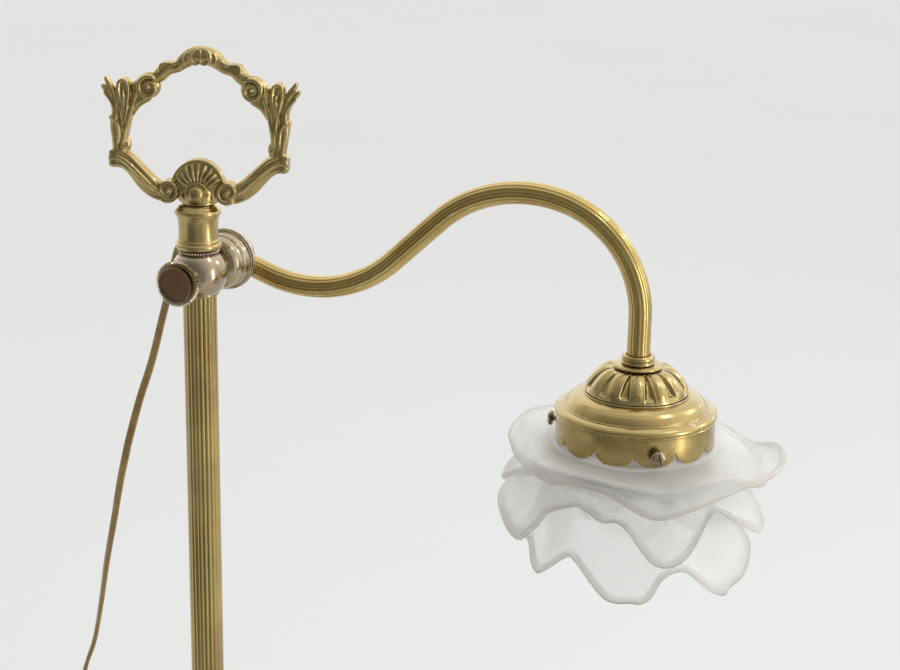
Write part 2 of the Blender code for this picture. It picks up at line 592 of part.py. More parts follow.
def build_plug(root, coil, table):
    h = math.radians(PLUG_HEADING)
    along = Vector((math.cos(h), math.sin(h), 0))
    at = Vector((*PLUG_AT, 0))
    body = rounded_block((30 * MM, 24 * MM, 15 * MM), 3.5 * MM, (0, 0, 7.7 * MM))
    body = add_object("plug_body", body, "brown_plastic", root, tuple(at), (0, 0, h))
    for side, wide in ((1, 6.3), (-1, 7.9)):
        slot = (17 * MM, side * 6.35 * MM, 7.7 * MM)
        cut(body, f"plug_slot_{side}", box((16 * MM, 2.1 * MM, (wide + 0.6) * MM), slot), root,
            tuple(at), (0, 0, h))
        name = "plug_blade_line" if side == 1 else "plug_blade_neutral"
        blade = box((25 * MM, 1.5 * MM, wide * MM), (21.8 * MM, side * 6.35 * MM, 7.7 * MM))
        add_object(name, blade, "antique_brass", root, tuple(at), (0, 0, h))
    beside = COIL_OUTER_R + CORD_R + 1.2 * MM
    leaves = coil + Vector((math.cos(math.radians(30)), math.sin(math.radians(30)), 0)) * beside
    back = at - along * 16 * MM
    cord("cord_tail", [tuple(leaves + Vector((0, 0, table))),
                       tuple(leaves.lerp(back, 0.45) + Vector((2 * MM, 1 * MM, table))),
                       tuple(back + Vector((0, 0, 6.5 * MM)))], parent=root)


def main():
    clear_scene()
    root = add_empty("lamp", (0, 0, 0))
    slide = add_empty("slide_axis", (0, 0, BALL_Z), root)
    swing = add_empty("swing_axis", (0, 0, 0), slide)
    knob = add_empty("knob_axis", (0, 0, 0), swing)
    tilt = add_empty("tilt_axis", (0, ARM_Y, 0), swing)
    build_base(root)
    build_column(root)
    build_slider(slide, swing)
    build_knob(knob)
    head_x = build_arm(tilt)
    head = add_empty("head_axis", (head_x, 0, 0), tilt)
    build_head(head)
    build_gallery_screws(head)
    build_cord(root, slide, swing, tilt)


main()
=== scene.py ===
"""Looks of the swing arm desk lamp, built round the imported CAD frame.

Shapes are written in millimetres: round the column's axis for the stand, and round the ball's
centre, the tilt axis or the head's axis for what moves. World units are metres.
"""
import math

import bmesh
import bpy
import numpy as np
from mathutils import Matrix, Vector


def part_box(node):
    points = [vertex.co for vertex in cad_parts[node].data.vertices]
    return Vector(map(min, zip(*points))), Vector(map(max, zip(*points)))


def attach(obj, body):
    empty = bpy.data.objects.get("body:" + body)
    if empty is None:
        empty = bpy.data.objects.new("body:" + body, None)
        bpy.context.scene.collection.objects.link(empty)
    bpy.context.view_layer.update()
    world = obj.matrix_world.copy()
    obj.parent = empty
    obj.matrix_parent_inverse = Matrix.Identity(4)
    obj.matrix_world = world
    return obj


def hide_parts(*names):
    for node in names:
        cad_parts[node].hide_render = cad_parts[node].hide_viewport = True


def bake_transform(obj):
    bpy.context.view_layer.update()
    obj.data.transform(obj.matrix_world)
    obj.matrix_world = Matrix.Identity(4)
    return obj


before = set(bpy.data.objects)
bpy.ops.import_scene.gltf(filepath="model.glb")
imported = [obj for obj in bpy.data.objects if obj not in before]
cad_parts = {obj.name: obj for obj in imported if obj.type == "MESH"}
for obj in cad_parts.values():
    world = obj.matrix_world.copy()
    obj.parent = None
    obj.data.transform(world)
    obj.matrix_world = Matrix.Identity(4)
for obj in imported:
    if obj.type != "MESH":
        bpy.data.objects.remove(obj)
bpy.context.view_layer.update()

MM = 0.001


def middle(node):
    """The centre of a CAD node's box, in metres."""
    low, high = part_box(node)
    return (low + high) / 2


def add_object(name, data):
    """A new object, placed in the scene."""
    obj = bpy.data.objects.new(name, data)
    bpy.context.scene.collection.objects.link(obj)
    return obj


def unit(rows):
    """Vectors along the last axis of an array of them, scaled to a length of one."""
    return rows / np.linalg.norm(rows, axis=-1, keepdims=True)


BALL_Z = middle("slider_ball").z / MM           # mm above the table
ARM_Y = middle("gallery_nipple").y / MM         # plane of the arm
HEAD_X = middle("gallery_nipple").x / MM        # axis of the head
HEAD = (HEAD_X, ARM_Y, BALL_Z)
BALL = (0, 0, BALL_Z)
PIVOT = (0, ARM_Y, BALL_Z)
HANDLE_TURN = math.radians(14)
COLUMN_R = 9.5                      # the reeded column, and the bore of what sits on it
BORE_R = 9.75
ARM_R = 6.35
BALL_R = 15.75
SWITCH_HEADING = 50                 # degrees round from +X on the table
PLUG_HEADING = -62
TIE_HEADING = 100


# ---- camera -----------------------------------------------------------------------------
def build_camera():
    """Looks down on the ball and arm from in front, a little from the right."""
    azimuth, pitch, roll = (math.radians(a) for a in (20, 17, 1))
    forward = Vector((-math.sin(azimuth) * math.cos(pitch),
                      math.cos(azimuth) * math.cos(pitch), -math.sin(pitch)))
    right = Vector((math.cos(azimuth), math.sin(azimuth), 0))
    up = right.cross(forward)
    right, up = (right * math.cos(roll) + up * math.sin(roll),
                 up * math.cos(roll) - right * math.sin(roll))
    cam = bpy.data.cameras.new("camera")
    cam.lens = 78.52
    cam.sensor_width = 36
    obj = add_object("camera", cam)
    turn = Matrix((right, up, -forward)).transposed()
    obj.matrix_world = Matrix.Translation((0.4970, -0.9519, 0.7463)) @ turn.to_4x4()
    bpy.context.scene.camera = obj


# ---- materials --------------------------------------------------------------------------
class Nodes:
    """A short way to write a material's node tree."""

    def __init__(self, name):
        self.mat = bpy.data.materials.new(name)
        self.mat.use_nodes = True
        self.tree = self.mat.node_tree
        self.shader = self.tree.nodes["Principled BSDF"]

    def add(self, kind, **settings):
        node = self.tree.nodes.new(kind)
        for key, value in settings.items():
            if key.startswith("in_"):
                node.inputs[key[3:].replace("_", " ")].default_value = value
            else:
                setattr(node, key, value)
        return node

    def link(self, a, b):
        self.tree.links.new(a, b)

    def set(self, **values):
        for key, value in values.items():
            self.shader.inputs[key.replace("_", " ")].default_value = value

    def coords(self, scale=(1, 1, 1)):
        where = self.add("ShaderNodeTexCoord")
        mapping = self.add("ShaderNodeMapping", in_Scale=scale)
        self.link(where.outputs["Object"], mapping.inputs["Vector"])
        return mapping.outputs["Vector"]

    def noise(self, scale, detail=4.0, rough=0.5, stretch=(1, 1, 1)):
        node = self.add("ShaderNodeTexNoise", in_Scale=scale, in_Detail=detail, in_Roughness=rough)
        self.link(self.coords(stretch), node.inputs["Vector"])
        return node.outputs["Fac"]

    def ramp(self, fac, *stops):
        node = self.add("ShaderNodeValToRGB")
        ramp = node.color_ramp
        while len(ramp.elements) < len(stops):
            ramp.elements.new(0.5)
        for element, (at, colour) in zip(ramp.elements, stops):
            element.position = at
            element.color = (*colour, 1)
        self.link(fac, node.inputs["Fac"])
        return node.outputs["Color"]

    def span(self, fac, low, high, start=0.0, end=1.0):
        node = self.add("ShaderNodeMapRange")
        limits = {"From Min": start, "From Max": end, "To Min": low, "To Max": high}
        for key, value in limits.items():
            node.inputs[key].default_value = value
        self.link(fac, node.inputs["Value"])
        return node.outputs["Result"]

    def mix(self, fac, a, b, blend="MIX"):
        node = self.add("ShaderNodeMix", data_type="RGBA", blend_type=blend)
        for socket, value in ((node.inputs[0], fac), (node.inputs[6], a), (node.inputs[7], b)):
            if hasattr(value, "links"):
                self.link(value, socket)
            elif isinstance(value, tuple):
                socket.default_value = (*value, 1)
            else:
                socket.default_value = value
        return node.outputs[2]

    def bump(self, height, strength, distance, under=None):
        node = self.add("ShaderNodeBump", in_Strength=strength, in_Distance=distance)
        self.link(height, node.inputs["Height"])
        if under is not None:
            self.link(under, node.inputs["Normal"])
        return node.outputs["Normal"]

    def feed(self, **links):
        for key, value in links.items():
            self.link(value, self.shader.inputs[key.replace("_", " ")])
        return self.mat


def lacquered_metal(name, tone, deep, worn, rough, grain=(1, 1, 1), coat=0.45, grime_and_shade=0.55):
    """Aged metal under clear lacquer: cloudy tone, grime and painted shade darkening its hollows,
    rubbed bright on edges.
    """
    n = Nodes(name)
    cloud = n.ramp(n.noise(34, 5, 0.6), (0.34, deep), (0.66, tone))
    dark = tuple(c * 0.32 for c in deep)
    colour = cloud
    if grime_and_shade:
        point = n.add("ShaderNodeNewGeometry").outputs["Pointiness"]
        # painted shade: low pointiness marks hollows and creases, which turn dark as if shaded
        # there, besides holding grime
        colour = n.mix(n.span(point, grime_and_shade, 0.0, 0.44, 0.495), colour, dark)
        colour = n.mix(n.span(point, 0.0, 0.75, 0.515, 0.60), colour, worn)
    speck = n.noise(900, 2, 0.5)
    colour = n.mix(n.span(speck, 0.0, 0.22, 0.62, 0.75), colour, dark)
    streak = n.noise(420, 3, 0.6, grain)
    roughness = n.span(n.noise(52, 4, 0.6), *rough)
    fine = n.bump(streak, 0.10, 0.0002)
    dents = n.bump(n.noise(120, 3, 0.5), 0.10, 0.0006, fine)
    n.set(Metallic=1.0, Coat_Weight=coat, Coat_Roughness=0.10, Specular_IOR_Level=0.5)
    return n.feed(Base_Color=colour, Roughness=roughness, Normal=dents)


LIP_TONE = (0.80, 0.78, 0.74)        # glass seen through its thickened rim and folds


def frosted(name, tint, low_alpha, high_alpha, rough, transmission):
    """Acid-frosted glass: milky, thin sheets let the light through, denser where seen edge-on."""
    n = Nodes(name)
    facing = n.add("ShaderNodeLayerWeight", in_Blend=0.38).outputs["Facing"]
    cloud = n.noise(26, 3, 0.5)
    colour = n.mix(n.span(cloud, 0.0, 0.5), tint, tuple(c * 0.965 for c in tint))
    edge = tuple(c * 0.80 for c in tint)
    colour = n.mix(n.span(facing, 0.0, 0.75, 0.45, 1.0), colour, edge)
    lip = n.add("ShaderNodeAttribute", attribute_name="lip").outputs["Fac"]
    colour = n.mix(n.span(lip, 0.0, 0.85), colour, tuple(c * k for c, k in zip(tint, LIP_TONE)))
    alpha = n.add("ShaderNodeMath", operation="ADD", use_clamp=True)
    n.link(n.span(facing, low_alpha, high_alpha, 0.05, 0.92), alpha.inputs[0])
    n.link(n.span(lip, 0.0, 0.34), alpha.inputs[1])
    alpha = alpha.outputs[0]
    grain = n.bump(n.noise(1500, 2, 0.6), 0.12, 0.0002)
    wave = n.bump(n.noise(70, 2, 0.5), 0.12, 0.002, grain)
    n.set(Roughness=rough, IOR=1.45, Transmission_Weight=transmission, Coat_Weight=0.15,
          Coat_Roughness=0.35)
    n.mat.use_transparent_shadow = True
    return n.feed(Base_Color=colour, Alpha=alpha, Normal=wave)


def moulded(name, colour, rough=(0.3, 0.42), speckle=0.0):
    n = Nodes(name)
    tone = n.mix(n.span(n.noise(60, 3, 0.5), 0.0, 0.6), colour, tuple(c * 0.75 for c in colour))
    grain = n.bump(n.noise(1300, 2, 0.5), 0.16 + speckle, 0.0002)
    n.set(Specular_IOR_Level=0.5)
    return n.feed(Base_Color=tone, Roughness=n.span(n.noise(90, 3, 0.5), *rough), Normal=grain)


def build_materials():
    made = {}
    # the grime_and_shade amount sets how much grime and painted shade darken each metal's hollows
    made["brass"] = lacquered_metal(
        "antique_brass", (0.500, 0.378, 0.150), (0.360, 0.265, 0.094), (0.74, 0.65, 0.46),
        (0.22, 0.34), grime_and_shade=0.45)
    made["tube_brass"] = lacquered_metal(
        "drawn_brass", (0.455, 0.350, 0.118), (0.360, 0.248, 0.086), (0.74, 0.64, 0.42),
        (0.14, 0.24), (1, 1, 0.05), grime_and_shade=0.35)
    made["bent_brass"] = lacquered_metal(
        "bent_brass", (0.520, 0.392, 0.122), (0.420, 0.285, 0.088), (0.74, 0.64, 0.42),
        (0.16, 0.28), grime_and_shade=0.16)
    made["spun_brass"] = lacquered_metal(
        "spun_brass", (0.470, 0.352, 0.132), (0.350, 0.256, 0.086), (0.76, 0.66, 0.46),
        (0.22, 0.32), (0.3, 0.3, 4), grime_and_shade=0.45)
    made["bronze"] = lacquered_metal(
        "dark_bronze", (0.405, 0.325, 0.220), (0.290, 0.228, 0.135), (0.70, 0.60, 0.46),
        (0.15, 0.26), grime_and_shade=0.45)
    made["knob_face"] = lacquered_metal(
        "knob_bronze", (0.235, 0.142, 0.085), (0.165, 0.097, 0.058), (0.4, 0.28, 0.19),
        (0.46, 0.62), coat=0.0, grime_and_shade=0.0)
    made["steel"] = lacquered_metal(
        "zinc_steel", (0.56, 0.56, 0.56), (0.42, 0.42, 0.43), (0.8, 0.8, 0.8), (0.25, 0.4))
    made["glass"] = frosted("frosted_glass", (0.815, 0.80, 0.765), 0.26, 0.86, 0.5, 0.60)
    made["bulb"] = frosted("bulb_clear", (0.90, 0.90, 0.88), 0.07, 0.42, 0.08, 0.70)
    made["porcelain"] = moulded("porcelain", (0.82, 0.80, 0.74), (0.1, 0.2))
    made["plastic"] = moulded("brown_plastic", (0.105, 0.052, 0.030), (0.28, 0.4), 0.1)
    made["fibre"] = moulded("fibre", (0.10, 0.055, 0.035), (0.6, 0.8), 0.2)

    n = Nodes("cord_sleeve")                   # gold-brown twin flex, clear over its copper
    tone = n.ramp(n.noise(120, 4, 0.6), (0.30, (0.215, 0.128, 0.026)),
                  (0.70, (0.36, 0.235, 0.055)))
    n.set(Coat_Weight=0.3, Coat_Roughness=0.2)
    made["cord"] = n.feed(Base_Color=tone, Roughness=n.span(n.noise(200, 2), 0.3, 0.45),
                          Normal=n.bump(n.noise(900, 2), 0.12, 0.0002))

    n = Nodes("wool_felt")
    tone = n.ramp(n.noise(700, 5, 0.8), (0.35, (0.012, 0.035, 0.018)),
                  (0.7, (0.035, 0.085, 0.045)))
    n.set(Roughness=0.95, Sheen_Weight=0.6, Sheen_Roughness=0.5)
    made["felt"] = n.feed(Base_Color=tone, Normal=n.bump(n.noise(1400, 4, 0.8), 0.6, 0.0006))

    n = Nodes("cast_iron")
    tone = n.ramp(n.noise(300, 5, 0.7), (0.3, (0.02, 0.02, 0.021)), (0.7, (0.055, 0.053, 0.05)))
    n.set(Metallic=0.6)
    made["iron"] = n.feed(Base_Color=tone, Roughness=n.span(n.noise(200, 3), 0.55, 0.8),
                          Normal=n.bump(n.noise(500, 5, 0.7), 0.5, 0.0006))
    return made


# ---- mesh tools -------------------------------------------------------------------------
def fillet(points, radius, steps=4, closed=False):
    """Round a profile's corners."""
    pts = [np.array(p, float) for p in points]
    count = len(pts)
    out = []
    for i, p in enumerate(pts):
        if not closed and i in (0, count - 1):
            out.append(p)
            continue
        a, b = pts[i - 1] - p, pts[(i + 1) % count] - p
        la, lb = np.linalg.norm(a), np.linalg.norm(b)
        cos = float(a @ b) / (la * lb)
        if cos < -0.995:
            out.append(p)
            continue
        reach = min(radius, 0.45 * la, 0.45 * lb)
        start, end = p + a / la * reach, p + b / lb * reach
        for k in range(steps + 1):
            t = k / steps
            out.append((1 - t) ** 2 * start + 2 * t * (1 - t) * p + t * t * end)
    return out


def smooth_line(points, step, closed=False):
    """Evenly spaced points along a Catmull-Rom curve through the given ones."""
    pts = np.array(points, float)
    if closed:
        ends = np.vstack([pts[-1:], pts, pts[:2]])
    else:
        ends = np.vstack([2 * pts[0] - pts[1], pts, 2 * pts[-1] - pts[-2]])
    fine = []
    for a, b, c, d in zip(ends, ends[1:], ends[2:], ends[3:]):
        for t in np.arange(0, 1, 1 / 14):
            fine.append(0.5 * (2 * b + (c - a) * t + (2 * a - 5 * b + 4 * c - d) * t * t
                               + (3 * b - a - 3 * c + d) * t ** 3))
    fine.append(pts[0] if closed else pts[-1])
    fine = np.array(fine)
    along = np.concatenate([[0], np.cumsum(np.linalg.norm(np.diff(fine, axis=0), axis=1))])
    count = max(3, round(along[-1] / step) + 1)
    want = np.linspace(0, along[-1], count)
    out = np.stack([np.interp(want, along, fine[:, k]) for k in range(fine.shape[1])], 1)
    return out[:-1] if closed else out


def arc(centre, radii, start, end, count):
    """Points of an elliptic arc between two angles in radians."""
    return [(centre[0] + radii[0] * math.cos(a), centre[1] + radii[1] * math.sin(a))
            for a in np.linspace(start, end, count)]


def skin(rows):
    """Quads between neighbouring rows of vertex numbers, each row a closed loop."""
    faces = []
    for a, b in zip(rows, rows[1:]):
        for k in range(len(a)):
            m = (k + 1) % len(a)
            faces.append([a[k], a[m], b[m], b[k]])
    return faces


def closed_mesh(name, verts, faces):
    """A mesh from vertices in millimetres, with its faces turned outward."""
    mesh = bpy.data.meshes.new(name)
    mesh.from_pydata((verts * MM).tolist(), [], faces)
    bm = bmesh.new()
    bm.from_mesh(mesh)
    bmesh.ops.recalc_face_normals(bm, faces=bm.faces)
    bm.to_mesh(mesh)
    bm.free()
    return mesh


def piece(name, verts, faces, mat, body, slot, replaces, at=(0, 0, 0), sharp=38.0):
    """A finished mesh, in millimetres round at, that rides on a body and stands for CAD nodes."""
    mesh = closed_mesh(name, np.array(verts, float) + np.array(at, float), faces)
    mesh.shade_smooth()
    if sharp:
        mesh.set_sharp_from_angle(angle=math.radians(sharp))
    mesh.materials.append(M[mat])
    obj = add_object(name, mesh)
    finish_piece(obj, body, replaces)
    return obj


def finish_piece(obj, body, replaces):
    if body:
        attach(obj, body)
    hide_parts(*replaces)


def lathe(profile, segments, axis="Z", shape=None):
    """Turn a profile of (radius, height) about an axis.

    A profile that starts and ends on the axis makes a solid, and any other makes a ring.
    """
    poles = profile[0][0] == 0 and profile[-1][0] == 0
    angle = np.arange(segments) * 2 * math.pi / segments
    verts, rows = [], []
    for r, h in profile:
        if r == 0:
            rows.append([len(verts)])
            verts.append((0, 0, h))
            continue
        rr, hh = np.full(segments, float(r)), np.full(segments, float(h))
        if shape:
            rr, hh = shape(rr, hh, angle)
        rows.append(list(range(len(verts), len(verts) + segments)))
        verts += list(zip(rr * np.cos(angle), rr * np.sin(angle), hh))
    pairs = list(zip(rows, rows[1:]))
    if not poles:
        pairs.append((rows[-1], rows[0]))
    faces = []
    for a, b in pairs:
        for i in range(segments):
            j = (i + 1) % segments
            loop = [a[i % len(a)], a[j % len(a)], b[j % len(b)], b[i % len(b)]]
            loop = list(dict.fromkeys(loop))
            if len(loop) > 2:
                faces.append(loop)
    verts = np.array(verts, float)
    if axis == "Y":
        verts = verts[:, [1, 2, 0]]
    if axis == "X":
        verts = verts[:, [2, 0, 1]]
    return verts, faces


def turned(verts, azimuth, rise=0.0):
    """Verts turned about Z by an azimuth, after a rise of +X toward +Z; degrees."""
    a, e = math.radians(azimuth), math.radians(rise)
    tilt = np.array([[math.cos(e), 0, -math.sin(e)], [0, 1, 0], [math.sin(e), 0, math.cos(e)]])
    spin = np.array([[math.cos(a), -math.sin(a), 0], [math.sin(a), math.cos(a), 0], [0, 0, 1]])
    return np.array(verts, float) @ tilt.T @ spin.T


def merged(*parts):
    """Several (verts, faces) pairs as one."""
    verts, faces = [], []
    for v, f in parts:
        start = sum(len(x) for x in verts)
        verts.append(np.array(v, float))
        faces += [[i + start for i in face] for face in f]
    return np.vstack(verts), faces


def swept(path, section, across):
    """Sweep a closed section of (along across, along the normal) offsets, with closed ends."""
    path = np.array(path, float)
    ahead = unit(np.gradient(path, axis=0))
    verts, rows = [], []
    for i, point in enumerate(path):
        side = np.array(across[i] if np.ndim(across) > 1 else across, float)
        side = side - (side @ ahead[i]) * ahead[i]
        side /= np.linalg.norm(side)
        normal = np.cross(ahead[i], side)
        rows.append(list(range(len(verts), len(verts) + len(section))))
        verts += [point + side * u + normal * w for u, w in section]
    faces = skin(rows)
    for row, point in ((rows[0], path[0]), (rows[-1], path[-1])):
        centre = len(verts)
        verts.append(point)
        faces += [[row[k], row[(k + 1) % len(row)], centre] for k in range(len(row))]
    return np.array(verts), faces


def reeded(radius, reeds, depth):
    """Cross-section of a reeded tube: low rounded reeds side by side."""
    per_reed = 12
    out = []
    for i in range(reeds * per_reed):
        u = (i % per_reed) / per_reed * 2 - 1
        r = radius - depth * u * u
        a = 2 * math.pi * i / (reeds * per_reed)
        out.append((r * math.cos(a), r * math.sin(a)))
    return out


def soft_box(size, bevel, centre, segments):
    """A block with well rounded edges."""
    bm = bmesh.new()
    bmesh.ops.create_cube(bm, size=1.0)
    bmesh.ops.scale(bm, vec=Vector(size), verts=bm.verts)
    bmesh.ops.bevel(bm, geom=list(bm.edges), offset=bevel, segments=segments, affect="EDGES",
                    profile=0.5)
    verts = np.array([v.co[:] for v in bm.verts])
    faces = [[v.index for v in f.verts] for f in bm.faces]
    bm.free()
    return verts + np.array(centre, float), faces


def rope(points, radii, flat=1.0):
    """A tapered round bar through points of (x, z, y), with rounded ends, for casting."""
    sides = 12
    line = smooth_line(points, 0.8)
    size = np.interp(np.linspace(0, 1, len(line)), np.linspace(0, 1, len(radii)), radii)
    line3 = np.stack([line[:, 0], line[:, 2], line[:, 1]], 1)     # (x, y, z) from (x, z, y)
    ahead = unit(np.gradient(line3, axis=0))
    caps = [(math.sin(t), max(math.cos(t), 0.02)) for t in map(math.radians, (30, 60, 90))]
    centres = ([line3[0] - ahead[0] * size[0] * out for out, _ in caps[::-1]] + list(line3)
               + [line3[-1] + ahead[-1] * size[-1] * out for out, _ in caps])
    sizes = ([size[0] * wide for _, wide in caps[::-1]] + list(size)
             + [size[-1] * wide for _, wide in caps])
    aheads = [ahead[0]] * 3 + list(ahead) + [ahead[-1]] * 3
    verts, rows = [], []
    depth = np.array([0, 1, 0])
    for c, s, f in zip(centres, sizes, aheads):
        side = np.cross(depth, f)
        side /= np.linalg.norm(side)
        rows.append(list(range(len(verts), len(verts) + sides)))
        for k in range(sides):
            a = 2 * math.pi * k / sides
            verts.append(c + side * s * math.cos(a) + depth * s * flat * math.sin(a))
    return np.array(verts), skin(rows) + [rows[0], rows[-1][::-1]]


def blob(centre, radii, sides):
    """An ellipsoid: centre and radii are (x, y, z)."""
    rows = 12
    profile = [(math.sin(math.pi * i / rows), math.cos(math.pi * i / rows))
               for i in range(rows + 1)]
    profile = [(0, 1)] + profile[1:-1] + [(0, -1)]
    verts, faces = lathe(profile, sides)
    return verts * np.array(radii, float) + np.array(centre, float), faces


def cast(name, parts, voxel, smooth, mat, body, replaces, at, turn):
    """Fuse overlapping closed shapes into one casting and soften it."""
    obj = add_object(name, closed_mesh(name + "_pattern", *merged(*parts)))
    melt = obj.modifiers.new("melt", "REMESH")
    melt.mode = "VOXEL"
    melt.voxel_size = voxel * MM
    soft = obj.modifiers.new("soft", "SMOOTH")
    soft.factor = 0.5
    soft.iterations = smooth
    dg = bpy.context.evaluated_depsgraph_get()
    done = bpy.data.meshes.new_from_object(obj.evaluated_get(dg))
    obj.modifiers.clear()
    obj.data = done
    done.transform(Matrix.Translation(Vector(at) * MM) @ Matrix.Rotation(turn, 4, "Z"))
    done.shade_smooth()
    done.materials.clear()
    done.materials.append(M[mat])
    done.name = name
    finish_piece(obj, body, replaces)


# ---- the cord ---------------------------------------------------------------------------
CORD_WIDE = 4.8                      # flat twin flex: two cores side by side
CORD_THICK = 2.7
GLAND_RISE = 12.0                    # degrees above level
GLAND_MOUTH = 23.3                   # from the tilt axis


def flex_section():
    """Two round cores in one skin, with a groove between them."""
    sides = 20
    out = []
    core = CORD_THICK / 2
    apart = CORD_WIDE / 2 - core
    for k in range(sides):
        a = 2 * math.pi * k / sides
        c, s = math.cos(a), math.sin(a)
        u = apart * (1 if c > 0 else -1) * min(1.0, abs(c) * 3) + core * c
        w = core * s * (1 - 0.22 * max(0.0, 1 - abs(c) * 4))
        out.append((u, w))
    return out


def twin_flex(name, line, twist, body, replaces, blend=None):
    """A stretch of the flat twin flex along a line in mm, turned by twist degrees along it."""
    line = np.array(line, float)
    ahead = unit(np.gradient(line, axis=0))
    side = np.cross(ahead, (0, 0, 1.0))
    side[np.linalg.norm(side, axis=1) < 0.05] = (0, 1.0, 0)
    side = unit(side)
    other = np.cross(side, ahead)
    t = np.radians(twist)
    across = side * np.cos(t)[:, None] + other * np.sin(t)[:, None]
    verts, faces = swept(line, flex_section(), across)
    obj = piece(name, verts, faces, "cord", None if blend else body, "gold_cord", replaces)
    if blend:
        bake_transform(obj)


def on_table(node, heading):
    """Where a fitting lies on the table, in millimetres, and the way it points."""
    at = np.array(middle(node)[:]) / MM
    h = math.radians(heading)
    return np.array((at[0], at[1], 0)), np.array((math.cos(h), math.sin(h), 0))


def build_cord():
    """One cord: from the gland down beside the column, to the switch, the coil and the plug."""
    rise = math.radians(GLAND_RISE)
    mouth = (-GLAND_MOUTH * math.cos(rise), ARM_Y, GLAND_MOUTH * math.sin(rise))
    tilt_joint, slide_joint = -37.15, -165.0    # heights of the cuts, from the ball's centre
    points = [mouth, (-29, 41.5, 5.2), (-34.5, 41.5, 1.4), (-37.7, 41.5, -8), (-41.5, 41.5, -24),
              (-45.05, 41.4, tilt_joint), (-47, 41.3, -44), (-54.5, 41, -71), (-63.5, 40.5, -97),
              (-71.5, 40, -124), (-73.55, 39.9, -132.15), (-78, 39.5, -151), (-83.5, 39.5, -178),
              (-89.5, 39.5, -206), (-94.5, 39.5, -234), (-100.5, 39.5, -262), (-108.5, 39.5, -285),
              (-117.5, 40.5, -325), (-126.5, 43, -370), (-135, 47, -410), (-142.5, 52, -435),
              (-147.8, 59.5, -448.5), (-150, 69, -452.1), (-150.3, 75.5, -452.5)]
    line = smooth_line([(x, y, z + BALL_Z) for x, y, z in points], 2.6)
    along = np.concatenate([[0], np.cumsum(np.linalg.norm(np.diff(line, axis=0), axis=1))])
    # broadside just below the knob, edge-on half-way down, then broadside again
    twist = np.interp(along, [0, 60, 140, 260, 345, 430, 520, 600],
                      [90, 80, 95, 40, 5, 70, 95, 90])
    cut_1 = int(np.argmin(np.abs(line[:, 2] - (BALL_Z + tilt_joint))))
    cut_2 = int(np.argmin(np.abs(line[:, 2] - (BALL_Z + slide_joint))))
    tilt_low = (-45.0, 41.4, BALL_Z - 37.0)
    twin_flex("cord_top", line[:cut_1 + 1], twist[:cut_1 + 1], None, ["cord_upper"],
              blend=("arm", "ball", (-26.0, 41.5, BALL_Z + 5.0), tilt_low))
    twin_flex("cord_fall", line[cut_1:cut_2 + 1], twist[cut_1:cut_2 + 1], None,
              ["cord_middle"],
              blend=("ball", "slider", line[cut_1] + (0, 0, -3.0), line[cut_2] + (0, 0, 3.0)))
    twin_flex("cord_drop", line[cut_2:], twist[cut_2:], None, ["cord_lower"],
              blend=("slider", "stand", line[cut_2] + (0, 0, -3.0), (-135.0, 47.0, 40.0)))

    flat_z = 2.7                      # the flex's middle where it lies on the table
    switch, along_switch = on_table("cord_switch", SWITCH_HEADING)
    end_in, end_out = switch - along_switch * 31, switch + along_switch * 31
    floor = smooth_line([(-150.3, 75.8, flat_z), (-150.3, 82.5, flat_z),
                         tuple(end_in - along_switch * 9 + (0, 0, flat_z + 0.6)),
                         tuple(end_in + along_switch * 3 + (0, 0, 6.6))], 2.4)
    twin_flex("cord_to_switch", floor, np.linspace(90, 0, len(floor)), "stand",
              ["cord_floor"])

    # switch to coil, six turns and a third in three layers, then on to the plug
    coil = middle("cord_coil") / MM
    gap, inner, low = 4.65, 21.9, 2.6         # turn to turn, the coil's bore, its first layer
    radii = [inner + gap / 2, inner + gap * 1.5 - 0.2, inner + gap * 2.5 - 0.6]
    spiral = []
    turn_at = [(radii[2], low), (radii[1], low), (radii[0], low), (radii[0], low + gap),
               (radii[1], low + gap), (radii[2], low + gap), (radii[2], low + gap * 2)]
    per_turn = 30
    first = 150.0
    for i, (r, z) in enumerate(turn_at):
        nr, nz = turn_at[min(i + 1, len(turn_at) - 1)]
        steps = per_turn if i < len(turn_at) - 1 else round(per_turn * 120 / 360)
        for k in range(steps):
            share = max(0.0, (k / per_turn - 0.72) / 0.28)
            share = share * share * (3 - 2 * share)
            a = math.radians(first - 360 * k / per_turn)
            rr, zz = r + (nr - r) * share, z + (nz - z) * share
            spiral.append((coil.x + rr * math.cos(a), coil.y + rr * math.sin(a), zz))
    plug, along_plug = on_table("plug_body", PLUG_HEADING)
    back = plug - along_plug * 15
    last = np.array(spiral[-1])
    lead = [tuple(end_out - along_switch * 3 + (0, 0, 6.6)),
            tuple(end_out + along_switch * 9 + (0, 0, flat_z + 1.0))]
    tail = [tuple(last * 0.55 + (back - along_plug * 12) * 0.45 + (0, 5, 0)),
            tuple(back - along_plug * 11 + (0, 0, 5.2)),
            tuple(back + along_plug * 2 + (0, 0, 7.4))]
    route = smooth_line(lead + spiral + tail, 2.4)
    count = len(route)
    twist = 90 + 14 * np.sin(np.linspace(0, 19, count))
    twist[:8] = np.linspace(0, twist[8], 8)
    twist[-8:] = np.linspace(twist[-9], 0, 8)
    return route, twist


